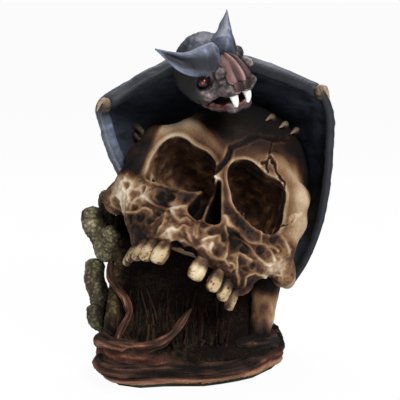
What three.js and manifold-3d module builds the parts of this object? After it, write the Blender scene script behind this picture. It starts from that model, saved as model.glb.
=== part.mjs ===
// Halloween table decoration in cast resin: a cracked skull without its lower jaw lies on a base of roots
// and moss, and a bat lies over it with both wings wrapped round the skull like a hood.
// Millimetres, +Z up, the viewer stands at -Y. Left is the figure's own left, which is +X.
// The origin is the middle of the underside of the felt.
import * as THREE from "three";
import { mergeVertices } from "three/addons/utils/BufferGeometryUtils.js";
import Module from "manifold-3d";

// Fits
const CLEARANCE = 0.3;
const FACET_TOLERANCE = 0.13;

// Base and felt
const FELT_THICKNESS = 1.6;
const FELT_INSET = 4;
const BASE_HALF_WIDTH = 52;
const BASE_HALF_DEPTH = 54;
const PLINTH_HEIGHT = 21;
const MOUND_HEIGHT = 76;
const MOUND_FRONT = -34;
const MOUND_RUN = 32;
const MOUND_CLIFF = 0.22;
const HUMP_HEIGHT = 14;
const HUMP_X = -37;
const HUMP_Y = 12;
const HUMP_REACH = 9;
const LUMP_HEIGHT = 2.2;
const LUMP_TURN = 0.3;

// Pose of the skull: nasal root in the part's frame, then its lean back, roll to its left and turn
const SKULL_X = 20.3;
const SKULL_Y = -21.5;
const SKULL_Z = 113.9;
const SKULL_LEAN = -30.8;
const SKULL_ROLL = 24.7;
const SKULL_TURN = -0.9;

// Skull, in its own frame: x to its left, y to the back of the head, z to the crown
const CRANIUM_HALF_WIDTH = 43;
const CRANIUM_HALF_LENGTH = 48;
const CRANIUM_HALF_HEIGHT = 44;
const CRANIUM_RISE = 16;
const FACE_BLEND = 7;
const ORBIT_SPREAD = 22;
const ORBIT_DROP = 7.5;
const ORBIT_HALF_WIDTH = 17.3;
const ORBIT_HALF_HEIGHT = 17.3;
const ORBIT_DEPTH = 34;
const ORBIT_RIM = 3.7;
const NOSE_TOP = -8;
const NOSE_HEIGHT = 27;
const NOSE_HALF_WIDTH = 9;
const NOSE_SLANT = 0.042;
const NOSE_DEPTH = 20;
const SEPTUM_THICKNESS = 1.8;
const CHEEK_HALF_WIDTH = 52;
const CHEEK_BACK = 24;
const CHEEK_DROP = 31;
const CHEEK_TUCK = 0.07;
const CHEEK_ARCH_RADIUS = 4.6;
const JAW_SHIFT = 3;
const TOOTH_ARCH_HALF_WIDTH = 30;
const TOOTH_ARCH_DEPTH = 34;
const TOOTH_ARCH_BACK = 26;
const GUM_LEVEL = -45;
const GUM_RADIUS = 7;
const PALATE_HEIGHT = 13;
const PIT_RADIUS = 3.6;
const CRACK_HALF_WIDTH = 1.3;

// Teeth: places along the arch in degrees from the middle, right side negative
const TOOTH_ROOT = 6;
const TOOTH_CROWN = 13.5;
const TOOTH_HALF_WIDTH = 4.3;
const TOOTH_HALF_THICKNESS = 3.3;
const RIGHT_TEETH = [-21, -36.5, -50, -64, -79];
const LEFT_TEETH = [20, 41, 58, 77];

// Bat
const BODY_X = 11;
const BODY_Y = 22;
const BODY_Z = 167;
const BODY_HALF_WIDTH = 18;
const BODY_HALF_LENGTH = 34;
const BODY_HALF_HEIGHT = 19;
const BODY_PITCH = -20;
const HEAD_X = 14;
const HEAD_Y = -22;
const HEAD_Z = 166;
const HEAD_TURN = 41;
const HEAD_ROLL = -14;
const HEAD_HALF_WIDTH = 19;
const HEAD_HALF_LENGTH = 20;
const HEAD_HALF_HEIGHT = 16;
const MUZZLE_REACH = 14.5;
const MUZZLE_HALF_WIDTH = 14;
const EYE_RADIUS = 3.4;
const EAR_LENGTH = 28.5;
const EAR_HALF_WIDTH = 9.5;
const EAR_THICKNESS = 12.5;
const FANG_LENGTH = 9;
const FANG_RADIUS = 2.7;
const LEAF_HALF_WIDTH = 8;
const LEAF_HALF_HEIGHT = 10;
const LEAF_THICKNESS = 3.4;

// Wings
const WING_THICKNESS = 3.2;
const WING_RIM = 2.2;
const FINGER_RIDGE = 1.3;
const FINGER_COUNT = 3;
const SCALLOP_SHARE = 0.07;
const SEAM_HALF_GAP = 2.4;
const LEFT_WING_BULGE = 4;
const RIGHT_WING_BULGE = 21;
const WING_SWELL = -5;
const ARM_RADIUS = 4.6;
const TAIL_RADIUS = 5.5;
const THUMB_RADIUS = 2.5;
const TOE_RADIUS = 2.1;
const TOE_LENGTH = 12;

// Roots and branches
const FRONT_ROOT_RADIUS = 7;
const LEFT_ROOT_RADIUS = 6;
const RIGHT_ROOT_RADIUS = 6.5;
const VINE_RADIUS = 2.3;
const TRUNK_RADIUS = 7;
const BRANCH_RADIUS = 7;
const NUB_RADIUS = 4.6;
const BONE_RADIUS = 5.6;

const wasm = await Module();
wasm.setup();

const at = (x, y, z) => new THREE.Vector3(x, y, z);
const radians = THREE.MathUtils.degToRad;
const { clamp, lerp, smoothstep } = THREE.MathUtils;

// Moves every vertex of a geometry by a formula, after welding it into one closed skin.
function warp(geometry, move) {
  geometry.deleteAttribute("normal");
  geometry.deleteAttribute("uv");
  const skin = mergeVertices(geometry, 1e-4);
  const place = skin.attributes.position;
  const point = at(0, 0, 0);
  for (let i = 0; i < place.count; i++) {
    point.fromBufferAttribute(place, i);
    move(point);
    place.setXYZ(i, point.x, point.y, point.z);
  }
  return skin;
}

// Turns a geometry into a solid for boolean work, after an optional move into another frame.
function solid(geometry, frame) {
  const bare = geometry.clone();
  bare.deleteAttribute("normal");
  bare.deleteAttribute("uv");
  const skin = mergeVertices(bare, 1e-4);
  if (frame) skin.applyMatrix4(frame);
  return new wasm.Manifold(
    new wasm.Mesh({
      numProp: 3,
      vertProperties: new Float32Array(skin.attributes.position.array),
      triVerts: new Uint32Array(skin.index.array),
    }),
  );
}

// Gives back the largest body of a solid as a geometry, with needless facets joined.
function skinOf(body) {
  const bodies = body.simplify(FACET_TOLERANCE).decompose();
  bodies.sort((one, two) => two.volume() - one.volume());
  const mesh = bodies[0].getMesh();
  const geometry = new THREE.BufferGeometry();
  geometry.setAttribute("position", new THREE.BufferAttribute(new Float32Array(mesh.vertProperties), 3));
  geometry.setIndex(new THREE.BufferAttribute(new Uint32Array(mesh.triVerts), 1));
  return geometry;
}

// Takes a list of solids away from one solid.
function carve(body, cutters) {
  return cutters.reduce((left, cutter) => left.subtract(cutter), body);
}

// A round or flattened bar along a curve. radii(t) gives the half-width across and the half-thickness,
// and side is the direction that the width follows.
function sweep(curve, radii, steps, sides, side = at(0, 0, 1)) {
  const bar = new THREE.CylinderGeometry(1, 1, 1, sides, steps);
  const across = at(0, 0, 0);
  const through = at(0, 0, 0);
  return warp(bar, (point) => {
    const t = clamp(point.y + 0.5, 0, 1);
    const middle = curve.getPoint(t);
    const along = curve.getTangent(t);
    across.copy(side).addScaledVector(along, -side.dot(along)).normalize();
    through.crossVectors(across, along);
    const [width, thickness] = radii(t);
    const x = point.x * width;
    const z = point.z * thickness;
    point.copy(middle).addScaledVector(across, x).addScaledVector(through, z);
  });
}

const bend = (...points) => new THREE.CatmullRomCurve3(points);

// Radii of a bar with rounded ends, from one radius to another.
function rounded(first, last, end = 0.14) {
  return (t) => {
    const edge = Math.min(t, 1 - t) / end;
    const cap = edge < 1 ? Math.sqrt(Math.max(0.06, 1 - (1 - edge) ** 2)) : 1;
    const radius = lerp(first, last, t) * cap;
    return [radius, radius];
  };
}

// Radii of a claw or a fang that ends in a blunt point.
function pointed(radius) {
  return (t) => {
    const left = radius * (0.14 + 0.86 * (1 - t) ** 0.8);
    return [left, left];
  };
}

const grown = (radii, extra) => (t) => radii(t).map((radius) => radius + extra);

// Distance-like measures of simple blobs, used to blend a bony or fleshy surface.
function blob(p, x, y, z, rx, ry, rz) {
  const qx = (p.x - x) / rx;
  const qy = (p.y - y) / ry;
  const qz = (p.z - z) / rz;
  const reach = Math.hypot(qx, qy, qz);
  const slope = Math.hypot(qx / rx, qy / ry, qz / rz);
  return slope < 1e-9 ? -Math.min(rx, ry, rz) : (reach * (reach - 1)) / slope;
}

function strut(p, a, b, ra, rb) {
  const dx = b[0] - a[0];
  const dy = b[1] - a[1];
  const dz = b[2] - a[2];
  const along = (p.x - a[0]) * dx + (p.y - a[1]) * dy + (p.z - a[2]) * dz;
  const t = clamp(along / (dx * dx + dy * dy + dz * dz), 0, 1);
  const away = Math.hypot(p.x - a[0] - dx * t, p.y - a[1] - dy * t, p.z - a[2] - dz * t);
  return away - lerp(ra, rb, t);
}

function blend(one, two, soft) {
  const share = clamp(0.5 + (0.5 * (two - one)) / soft, 0, 1);
  return lerp(two, one, share) - soft * share * (1 - share);
}

// A closed skin round a middle point: on each ray the outermost place where the measure falls to a level.
function shell(measure, middle, reach, level, around, down) {
  const probe = at(0, 0, 0);
  return warp(new THREE.SphereGeometry(1, around, down), (point) => {
    const inside = (far) => measure(probe.copy(point).multiplyScalar(far).add(middle)) < level;
    let far = reach;
    while (far > 4 && !inside(far)) far -= 1.5;
    let low = far;
    let high = far + 1.5;
    for (let i = 0; i < 14; i++) {
      const half = (low + high) / 2;
      if (inside(half)) low = half;
      else high = half;
    }
    point.multiplyScalar(low).add(middle);
  });
}

const decoration = new THREE.Group();
decoration.name = "halloween_skull_decoration";

function group(name, position, order, x, y, z) {
  const frame = new THREE.Group();
  frame.name = name;
  frame.position.copy(position);
  frame.rotation.set(radians(x), radians(y), radians(z), order);
  frame.updateMatrix();
  decoration.add(frame);
  return frame;
}

const skullSpot = at(SKULL_X, SKULL_Y, SKULL_Z);
const skullFrame = group("skull_pose", skullSpot, "ZXY", SKULL_LEAN, SKULL_ROLL, SKULL_TURN);
const headSpot = at(HEAD_X, HEAD_Y, HEAD_Z);
const headFrame = group("bat_head_pose", headSpot, "ZXY", 0, HEAD_ROLL, HEAD_TURN);

const paint = {
  bone: { color: 0xcdb284, roughness: 0.62 },
  tooth: { color: 0xd9c497, roughness: 0.5 },
  bat: { color: 0x1b2029, roughness: 0.5 },
  wing: { color: 0x161a22, roughness: 0.5 },
  face: { color: 0x57484a, roughness: 0.55 },
  leaf: { color: 0x8a5d55, roughness: 0.5 },
  eye: { color: 0x9c1712, roughness: 0.2 },
  fang: { color: 0xe9e2cf, roughness: 0.35 },
  claw: { color: 0xb59a72, roughness: 0.45 },
  root: { color: 0x5a2a1c, roughness: 0.7 },
  earth: { color: 0x2d2019, roughness: 0.85 },
  moss: { color: 0x5c6146, roughness: 0.95 },
  felt: { color: 0x1f2a20, roughness: 1 },
};

function place(name, geometry, coat, parent = decoration) {
  const material = new THREE.MeshStandardMaterial({ ...paint[coat], metalness: 0 });
  material.name = coat;
  const piece = new THREE.Mesh(geometry, material);
  piece.name = name;
  parent.add(piece);
  return piece;
}

// Skull
const midline = (z) => JAW_SHIFT * clamp((NOSE_TOP - z) / 34, 0, 1);
const archPoint = (turn, z) =>
  at(
    midline(z) + TOOTH_ARCH_HALF_WIDTH * Math.sin(radians(turn)),
    TOOTH_ARCH_BACK - TOOTH_ARCH_DEPTH * Math.cos(radians(turn)),
    z,
  );

const craniumMiddle = at(0, CRANIUM_HALF_LENGTH - 2, CRANIUM_RISE);
const rimX = ORBIT_SPREAD + ORBIT_HALF_WIDTH + ORBIT_RIM;
const rimTop = ORBIT_HALF_HEIGHT - ORBIT_DROP + ORBIT_RIM + 1.5;
const rimLow = -ORBIT_DROP - ORBIT_HALF_HEIGHT + 1.8;
const CHEEK = [CHEEK_HALF_WIDTH, CHEEK_BACK, -CHEEK_DROP];

// Nearness to the gum ridge, which follows the tooth arch
function gum(p) {
  const x = p.x / TOOTH_ARCH_HALF_WIDTH;
  const y = (p.y - TOOTH_ARCH_BACK) / TOOTH_ARCH_DEPTH;
  const away = (Math.hypot(x, y) - 1) * TOOTH_ARCH_HALF_WIDTH;
  const behind = Math.max(0, p.y - TOOTH_ARCH_BACK);
  return Math.hypot(away, behind, 0.85 * (p.z - GUM_LEVEL)) - GUM_RADIUS;
}

// The braincase
function caseMeasure(p) {
  const c = craniumMiddle;
  const vault = blob(p, c.x, c.y, c.z, CRANIUM_HALF_WIDTH, CRANIUM_HALF_LENGTH, CRANIUM_HALF_HEIGHT);
  const floor = blend(vault, blob(p, 0, 38, -14, 33, 34, 30), 8);
  const brows = blob({ x: Math.abs(p.x), y: p.y, z: p.z }, ORBIT_SPREAD + 2, 21, 1, 21, 22, 19);
  const forehead = blob(p, 0, 20, rimTop + 1, 27, 24, 17);
  return blend(blend(floor, brows, 8), forehead, 8);
}

// The face below the brows: upper jaw, nose walls, lower rims of the sockets, cheekbones and gum ridge
const faceBars = [
  [[rimX + 2, 12, rimLow + 1], [ORBIT_SPREAD + 5, 1, rimLow - 4], 7, 6],
  [[ORBIT_SPREAD + 5, 1, rimLow - 4], [11, -1, rimLow + 3], 6, 4],
  [[rimX + 2, 14, rimLow - 1], CHEEK, 9.5, 8.4],
  [[rimX, 14, rimLow - 6], [TOOTH_ARCH_HALF_WIDTH, 8, GUM_LEVEL + 2], 9, 8],
  [[0, 0, 6], [0, -5, NOSE_TOP + 2], 5.5, 4.5],
  [[7, -1, NOSE_TOP], [NOSE_HALF_WIDTH + 4, -4, NOSE_TOP - 20], 4.5, 5],
  [[NOSE_HALF_WIDTH + 4, -4, NOSE_TOP - 20], [8, -7, NOSE_TOP - 31], 5, 5],
];

function faceMeasure(point) {
  const q = { x: point.x - midline(point.z), y: point.y, z: point.z };
  const p = { x: Math.abs(q.x) * (1 + CHEEK_TUCK * smoothstep(q.x, 30, 60)), y: q.y, z: q.z };
  let d = blob(p, 0, 16, -32, 27, 22, 21);
  d = blend(d, blob(p, 24, 12, -38, 17, 14, 14), FACE_BLEND);
  for (const [a, b, ra, rb] of faceBars) d = blend(d, strut(p, a, b, ra, rb), FACE_BLEND);
  return blend(d, gum(q), FACE_BLEND);
}

const boneMeasure = (p) => Math.min(caseMeasure(p), faceMeasure(p));
const caseMiddle = at(0, 40, 4);
const faceMiddle = at(JAW_SHIFT / 2, 19, -28);

// The brow runs on into the outer rim of the eye socket.
function brow(side, extra) {
  const path = bend(
    at(side * 3, 1, rimTop - 6),
    at(side * (ORBIT_SPREAD + 3), 0, rimTop),
    at(side * (rimX - 0.5), 9, rimTop - 9),
    at(side * (rimX + 3), 11, rimTop - 22),
    at(side * (rimX + 2), 12, rimLow + 3),
  );
  const shape = (t) => [6 + 1.4 * t + extra, 6.5 + 1.2 * t + extra];
  return solid(sweep(path, shape, 8, 7, at(0, 1, 0.2)));
}

// The left cheek lies a little nearer the middle than the right one.
const cheekX = (side) => side * CHEEK_HALF_WIDTH * (side > 0 ? 1 - CHEEK_TUCK : 1);

function cheekArch(side, extra) {
  const path = bend(
    at(cheekX(side) - side, CHEEK_BACK - 2, -CHEEK_DROP),
    at(cheekX(side) + 3 * side, CHEEK_BACK + 16, 2 - CHEEK_DROP),
    at(side * (CRANIUM_HALF_WIDTH - 9), CHEEK_BACK + 42, 13 - CHEEK_DROP),
  );
  const radius = CHEEK_ARCH_RADIUS + extra;
  return solid(sweep(path, (t) => [radius * lerp(1.6, 1.1, t), radius], 7, 8));
}

function bareSkull(extra) {
  let body = solid(shell(caseMeasure, caseMiddle, 80, extra, 24, 16));
  body = body.add(solid(shell(faceMeasure, faceMiddle, 60, extra, 32, 20)));
  for (const side of [1, -1]) body = body.add(brow(side, extra)).add(cheekArch(side, extra));
  return body;
}

// Outline of each eye socket seen from the front, as shares of the half-size: the mean radius, then the
// cosine and sine parts of one to four waves round it. The turn is measured from the outward direction.
const orbitWaves = {
  left: [0.99, 0.0705, 0.0572, 0.0671, -0.2, -0.0185, 0.0405, -0.0855, -0.0324],
  right: [1.016, 0.0168, 0.0358, 0.1353, 0.0052, -0.0289, -0.0133, -0.048, -0.0225],
};

function orbitReach(waves, turn) {
  let reach = waves[0];
  for (let k = 1; k < 5; k++) {
    reach += waves[2 * k - 1] * Math.cos(k * turn) + waves[2 * k] * Math.sin(k * turn);
  }
  return reach;
}

// Eye socket: a straight tube in front that closes like a ball and turns towards the middle as it goes back
function orbit(side) {
  const waves = side > 0 ? orbitWaves.left : orbitWaves.right;
  const hole = warp(new THREE.SphereGeometry(1, 17, 8), (point) => {
    const turn = Math.atan2(point.z, point.x);
    const ring = Math.hypot(point.x, point.z);
    const open = point.y < 0 && ring > 0.01 ? 1 : ring;
    const reach = open * orbitReach(waves, turn);
    const back = clamp(point.y, 0, 1);
    const x = ORBIT_SPREAD + side + reach * ORBIT_HALF_WIDTH * Math.cos(turn) - 9 * back;
    const z = side / 2 - ORBIT_DROP + reach * ORBIT_HALF_HEIGHT * Math.sin(turn);
    const y = point.y > 0 ? 4 + point.y * ORBIT_DEPTH : 4 + point.y * 30;
    point.set(side * x, y, z);
  });
  if (side < 0) flip(hole);
  return solid(hole);
}

// Turns the faces of a mirrored geometry outwards again.
function flip(geometry) {
  const index = geometry.index;
  for (let i = 0; i < index.count; i += 3) {
    const kept = index.getX(i);
    index.setX(i, index.getX(i + 2));
    index.setX(i + 2, kept);
  }
}

// One lobe of the nasal opening, left of the septum or right of it
function nostril(side) {
  const lobe = new THREE.Shape();
  const inner = SEPTUM_THICKNESS / 2;
  const low = -NOSE_HEIGHT;
  lobe.moveTo(inner, 0);
  lobe.bezierCurveTo(3, -2, NOSE_HALF_WIDTH, 0.5 * low, NOSE_HALF_WIDTH, 0.8 * low);
  lobe.quadraticCurveTo(NOSE_HALF_WIDTH, low, 0.55 * NOSE_HALF_WIDTH, low);
  lobe.quadraticCurveTo(inner, low, inner, 0.82 * low);
  lobe.closePath();
  const bar = new THREE.ExtrudeGeometry(lobe, { depth: 1, bevelEnabled: false, curveSegments: 5 });
  const cut = warp(bar, (point) => {
    const z = NOSE_TOP + point.y;
    const slant = NOSE_SLANT * (20 - point.y);
    point.set(midline(z) + slant + side * point.x, -24 + point.z * (NOSE_DEPTH + 20), z);
  });
  if (side > 0) flip(cut);
  return solid(cut);
}

// A place on the front of the skull at a given x and z
function onFace(x, z, lift = 0) {
  const probe = at(x, -30, z);
  while (probe.y < 60 && boneMeasure(probe) > lift) probe.y += 0.25;
  return probe;
}

function crack(points) {
  const path = bend(...points.map(([x, z]) => onFace(x, z)));
  return solid(
    sweep(path, (t) => [CRACK_HALF_WIDTH * (0.5 + Math.sin(Math.PI * t)), 2.4], 10, 4, at(0.7, 0, -0.7)),
  );
}

// A tooth hangs from its socket along the arch; its root is the upper end.
function tooth(turn, extra, width = 1) {
  const root = archPoint(turn, GUM_LEVEL - GUM_RADIUS + TOOTH_ROOT);
  const out = at(Math.sin(radians(turn)), -Math.cos(radians(turn)), 0);
  const tip = root.clone().addScaledVector(out, 1.5);
  tip.z -= TOOTH_ROOT + TOOTH_CROWN;
  const across = at(Math.cos(radians(turn)), Math.sin(radians(turn)), 0);
  const shape = (t) => {
    const crown = smoothstep(t, 0.12, 0.62);
    const end = t > 0.86 ? Math.sqrt(Math.max(0.25, 1 - ((t - 0.86) / 0.15) ** 2)) : 1;
    const fat = lerp(0.62, 1, crown) * end;
    return [TOOTH_HALF_WIDTH * width * fat + extra, TOOTH_HALF_THICKNESS * fat + extra];
  };
  const path = bend(root, root.clone().lerp(tip, 0.5).addScaledVector(out, 0.8), tip);
  if (extra) path.points[0].z += extra;
  return sweep(path, shape, 5, 7, across);
}

const toothWidth = (turn) => (Math.abs(turn) < 30 ? 1.1 : 0.92);
const toothTurns = [...RIGHT_TEETH, ...LEFT_TEETH];
const emptySockets = [-8, 6].map((turn) => {
  const ball = new THREE.SphereGeometry(1, 10, 6);
  const place = archPoint(turn, GUM_LEVEL - GUM_RADIUS + 1);
  return solid(warp(ball, (point) => point.multiply(at(3.8, 4.5, 8)).add(place)));
});

const palate = warp(new THREE.SphereGeometry(1, 12, 8), (point) => {
  const wide = TOOTH_ARCH_HALF_WIDTH - GUM_RADIUS - 3;
  const deep = TOOTH_ARCH_DEPTH - GUM_RADIUS - 1;
  point.multiply(at(wide, deep, PALATE_HEIGHT));
  point.add(at(JAW_SHIFT, TOOTH_ARCH_BACK + 2, GUM_LEVEL - GUM_RADIUS - 1));
});

const temple = (side) =>
  solid(
    warp(new THREE.SphereGeometry(1, 12, 8), (point) => {
      point.multiply(at(6, 13, 17));
      point.add(at(cheekX(side) - 5 * side, CHEEK_BACK + 15, -CHEEK_DROP + 3));
    }),
  );

// Hollows in the cheekbones and beside the nose: x and z of each
const pits = [
  [-46, -33],
  [-35.5, -28],
  [-20.5, -29],
  [-31, -43],
  [-19.5, -42],
  [42, -24],
  [29.5, -36],
  [37, -44],
];
const pit = ([x, z]) => {
  const spot = onFace(x, z);
  const ball = new THREE.SphereGeometry(PIT_RADIUS, 6, 4);
  return solid(ball.translate(spot.x, spot.y - 0.55 * PIT_RADIUS, spot.z));
};

const skullSolid = carve(bareSkull(0), [
  orbit(1),
  orbit(-1),
  nostril(1),
  nostril(-1),
  solid(palate),
  temple(1),
  temple(-1),
  crack([[-5.9, 1.9], [-2.2, 10.2], [5.1, 21.2], [11.8, 29.5], [24.4, 39.1]]),
  crack([[13, 31], [21.1, 20.1], [27.5, 14.4], [36, 8]]),
  ...pits.map(pit),
  ...emptySockets,
  ...toothTurns.map((turn) => solid(tooth(turn, CLEARANCE, toothWidth(turn)))),
]);
place("skull", skinOf(skullSolid), "bone", skullFrame);
toothTurns.forEach((turn) => {
  const side = turn < 0 ? "right" : "left";
  const row = turn < 0 ? RIGHT_TEETH : LEFT_TEETH;
  const name = `tooth_${side}_${row.indexOf(turn) + 1}`;
  place(name, tooth(turn, 0, toothWidth(turn)), "tooth", skullFrame);
});

const skullRoom = bareSkull(CLEARANCE).transform(skullFrame.matrix.toArray());

// Bat body: a pitched barrel with a neck that reaches to the head
const bodyFrame = new THREE.Matrix4().makeRotationX(radians(BODY_PITCH));
bodyFrame.setPosition(BODY_X, BODY_Y, BODY_Z);
const bodyBack = bodyFrame.clone().invert();
const neckStart = [BODY_X, BODY_Y - 18, BODY_Z + 3];
const neckEnd = [HEAD_X - 1, HEAD_Y + 14, HEAD_Z];

function bodyMeasure(point) {
  const local = point.clone().applyMatrix4(bodyBack);
  const barrel = blob(local, 0, 0, 0, BODY_HALF_WIDTH, BODY_HALF_LENGTH, BODY_HALF_HEIGHT);
  return blend(barrel, strut(point, neckStart, neckEnd, 15, 13), 6);
}

function headMeasure(point) {
  const p = { x: Math.abs(point.x), y: point.y, z: point.z };
  let d = blob(p, 0, 0, 2, HEAD_HALF_WIDTH, HEAD_HALF_LENGTH, HEAD_HALF_HEIGHT);
  d = blend(d, blob(p, 0, -MUZZLE_REACH, -2, MUZZLE_HALF_WIDTH, 12, 10), 5);
  d = blend(d, blob(p, 11, -8, -5, 8, 9, 8), 4);
  return blend(d, strut(p, [4, -15, 9], [15, -9, 10], 4, 4), 4);
}

const bodyMiddle = at(BODY_X, BODY_Y - 8, BODY_Z);
const body = (extra, around, down) => solid(shell(bodyMeasure, bodyMiddle, 60, extra, around, down));
const headMiddle = at(0, -4, 0);
const head = (extra, around, down) => solid(shell(headMeasure, headMiddle, 50, extra, around, down));
const bareHeadRoom = head(CLEARANCE, 18, 12);
const bodyRoom = body(CLEARANCE, 18, 12);

// Bat head, with its eyes, ears, nose leaf, fangs and lower jaw
const eyeAt = (side) => at(side * (HEAD_HALF_WIDTH - 4), -HEAD_HALF_LENGTH * 0.58, 2);
const eye = (side, extra) =>
  new THREE.SphereGeometry(EYE_RADIUS + extra, 8, 6).translate(...eyeAt(side).toArray());

// Ear: a curved horn with a hollow along the side that faces out and forward. The left one stands up, and
// the right one lies out to the side. A room for the ear has no hollow.
const earRise = { left: at(0.628, 0.526, 0.568), right: at(-0.873, 0.526, 0.34) };

function ear(side, extra) {
  const foot = at(side * HEAD_HALF_WIDTH * 0.3, -HEAD_HALF_LENGTH * 0.55, HEAD_HALF_HEIGHT * 0.9);
  const rise = side > 0 ? earRise.left : earRise.right;
  const tip = foot.clone().addScaledVector(rise, EAR_LENGTH);
  const elbow = foot.clone().lerp(tip, 0.5).add(at(side * 3, 0, -1.5));
  const path = bend(foot, elbow, tip);
  const mouth = at(side * 0.65, -0.76, 0);
  const across = at(0, 0, 0);
  const toMouth = at(0, 0, 0);
  return warp(new THREE.CylinderGeometry(1, 1, 1, 12, 5), (point) => {
    const t = clamp(point.y + 0.5, 0, 1);
    const along = path.getTangent(t);
    across.crossVectors(along, mouth).normalize();
    toMouth.crossVectors(across, along);
    const taper = 0.04 + 0.96 * (1 - t) * (1 + 1.1 * t * (1 - t));
    const hollow = extra || point.z < 0 ? 0 : 1.6 * Math.exp(-((point.x / 0.62) ** 2));
    const x = point.x * (EAR_HALF_WIDTH * taper + extra);
    const z = point.z * (1 - hollow) * ((EAR_THICKNESS / 2) * taper + extra);
    point.copy(path.getPoint(t)).addScaledVector(across, x).addScaledVector(toMouth, z);
  });
}

// Nose leaf: a spear-shaped shield that lies back along the top of the muzzle and droops at its edges
function leaf(extra) {
  const low = at(0, -MUZZLE_REACH - 12.5, -5.5);
  const up = (y, z) => low.clone().add(at(0, y * LEAF_HALF_HEIGHT, z * LEAF_HALF_HEIGHT));
  const path = bend(low, up(0, 0.7), up(0.5, 1.38), up(1.35, 1.86));
  const shape = (t) => {
    const foot = 0.55 + 0.45 * Math.sin((Math.PI / 2) * clamp(t / 0.4, 0, 1));
    const end = Math.sqrt(Math.max(0.04, 1 - clamp((t - 0.75) / 0.25, 0, 1) ** 2));
    const wide = foot * end * (1 - 0.3 * clamp((t - 0.4) / 0.6, 0, 1));
    return [LEAF_HALF_WIDTH * wide + 0.4 + extra, (LEAF_THICKNESS / 2) * (0.4 + 0.6 * wide) + extra];
  };
  return warp(sweep(path, shape, 6, 8, at(1, 0, 0)), (point) => {
    point.z -= 0.02 * point.x ** 2;
    point.y += 0.02 * point.x ** 2;
  });
}

function fang(side, extra) {
  const root = at(side * 4.7, -MUZZLE_REACH - 7, -6.5 + extra);
  const middle = root.clone().add(at(0, -1, -0.5 * FANG_LENGTH));
  const tip = root.clone().add(at(-0.8 * side, 0, -FANG_LENGTH));
  return sweep(bend(root, middle, tip), grown(pointed(FANG_RADIUS), extra), 4, 7, at(1, 0, 0));
}

const mouth = warp(new THREE.SphereGeometry(1, 10, 6), (point) => {
  point.multiply(at(MUZZLE_HALF_WIDTH - 1, MUZZLE_REACH, 8)).add(at(0, -11, -12.5));
});

const lowerJaw = warp(new THREE.SphereGeometry(1, 12, 7), (point) => {
  const front = clamp(-point.y, 0, 1);
  const z = point.z * 2.8 - 12.4 - 4.5 * front;
  point.set(point.x * (13 - 4 * front), point.y * 14 - 9, z);
});

const seat = (side) => [eye(side, CLEARANCE), ear(side, CLEARANCE), fang(side, CLEARANCE)];
const seats = [...seat(-1), ...seat(1)];
const skullInHead = skullRoom.transform(headFrame.matrix.clone().invert().toArray());
const headCuts = [...seats, leaf(CLEARANCE), mouth].map((cut) => solid(cut));
const jawCuts = [bareHeadRoom, solid(fang(1, 2 * CLEARANCE)), solid(fang(-1, 2 * CLEARANCE)), skullInHead];
place("bat_head", skinOf(carve(head(0, 18, 12), [...headCuts, skullInHead])), "face", headFrame);
place("bat_lower_jaw", skinOf(carve(solid(lowerJaw), jawCuts)), "face", headFrame);
place("bat_nose_leaf", leaf(0), "leaf", headFrame);

// The ears make way for the leaf and the eyes, and the left ear for the right one.
const earCuts = {
  left: [leaf(CLEARANCE), eye(1, CLEARANCE), ear(-1, CLEARANCE)],
  right: [leaf(CLEARANCE), eye(-1, CLEARANCE)],
};
for (const [side, name] of [[1, "left"], [-1, "right"]]) {
  const cuts = earCuts[name].map((cut) => solid(cut));
  place(`bat_ear_${name}`, skinOf(carve(solid(ear(side, 0)), cuts)), "bat", headFrame);
  place(`bat_eye_${name}`, eye(side, 0), "eye", headFrame);
  place(`bat_fang_${name}`, fang(side, 0), "fang", headFrame);
}

// The room that the head takes up, with its ears, in the part's frame
const earRooms = [1, -1].map((side) => solid(ear(side, CLEARANCE)));
const wholeHeadRoom = bareHeadRoom.add(earRooms[0]).add(earRooms[1]);
const headRoom = wholeHeadRoom.transform(headFrame.matrix.toArray());
place("bat_body", skinOf(carve(body(0, 18, 12), [skullRoom, headRoom])), "bat");

// Wings: each is a thick sheet from its leading edge back round the skull to a seam behind it.
const hoodMiddle = craniumMiddle.clone().applyMatrix4(skullFrame.matrix);
const toSkull = skullFrame.matrix.clone().invert();
const wings = {
  left: {
    side: 1,
    bulge: LEFT_WING_BULGE,
    arm: [at(29, 3, 173), at(54, -2, 164.5), at(74.5, -8, 156)],
    edge: [
      at(80.5, -6, 145),
      at(81, -2, 123),
      at(80, 2, 103),
      at(76, 8, 79),
      at(68.5, 14, 57),
      at(60.5, 18, 43),
    ],
    tip: [at(26, 66, 42)],
  },
  right: {
    side: -1,
    bulge: RIGHT_WING_BULGE,
    arm: [at(-2, 2, 172), at(-25, -6, 161.5), at(-43, -14, 149.5)],
    edge: [at(-42.5, -10, 137.5), at(-39.5, -4, 123.5), at(-33.5, 4, 109), at(-26.5, 14, 95)],
    tip: [at(24, 67, 46)],
  },
};
const seam = [at(14, 14, 178), at(17, 50, 160), at(22, 72, 126), at(25, 76, 92)];

function wingPoint(wing, s, t) {
  const lead = wing.lead.getPoint(s);
  const rear = wing.rear.getPoint(s);
  rear.x += wing.side * SEAM_HALF_GAP;
  const swell = lead.clone().add(at(wing.side * wing.bulge, 36, WING_SWELL));
  const point = lead.multiplyScalar((1 - t) ** 2);
  point.addScaledVector(swell, 2 * t * (1 - t)).addScaledVector(rear, t * t);
  const local = point.clone().applyMatrix4(toSkull).sub(craniumMiddle);
  const room = WING_THICKNESS / 2 + CLEARANCE + 0.5;
  local.divide(at(CRANIUM_HALF_WIDTH + room, CRANIUM_HALF_LENGTH + room, CRANIUM_HALF_HEIGHT + room));
  const reach = local.length();
  const push = -blend(-reach, -1, 0.05) / reach;
  return point.sub(hoodMiddle).multiplyScalar(push).add(hoodMiddle);
}

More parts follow.
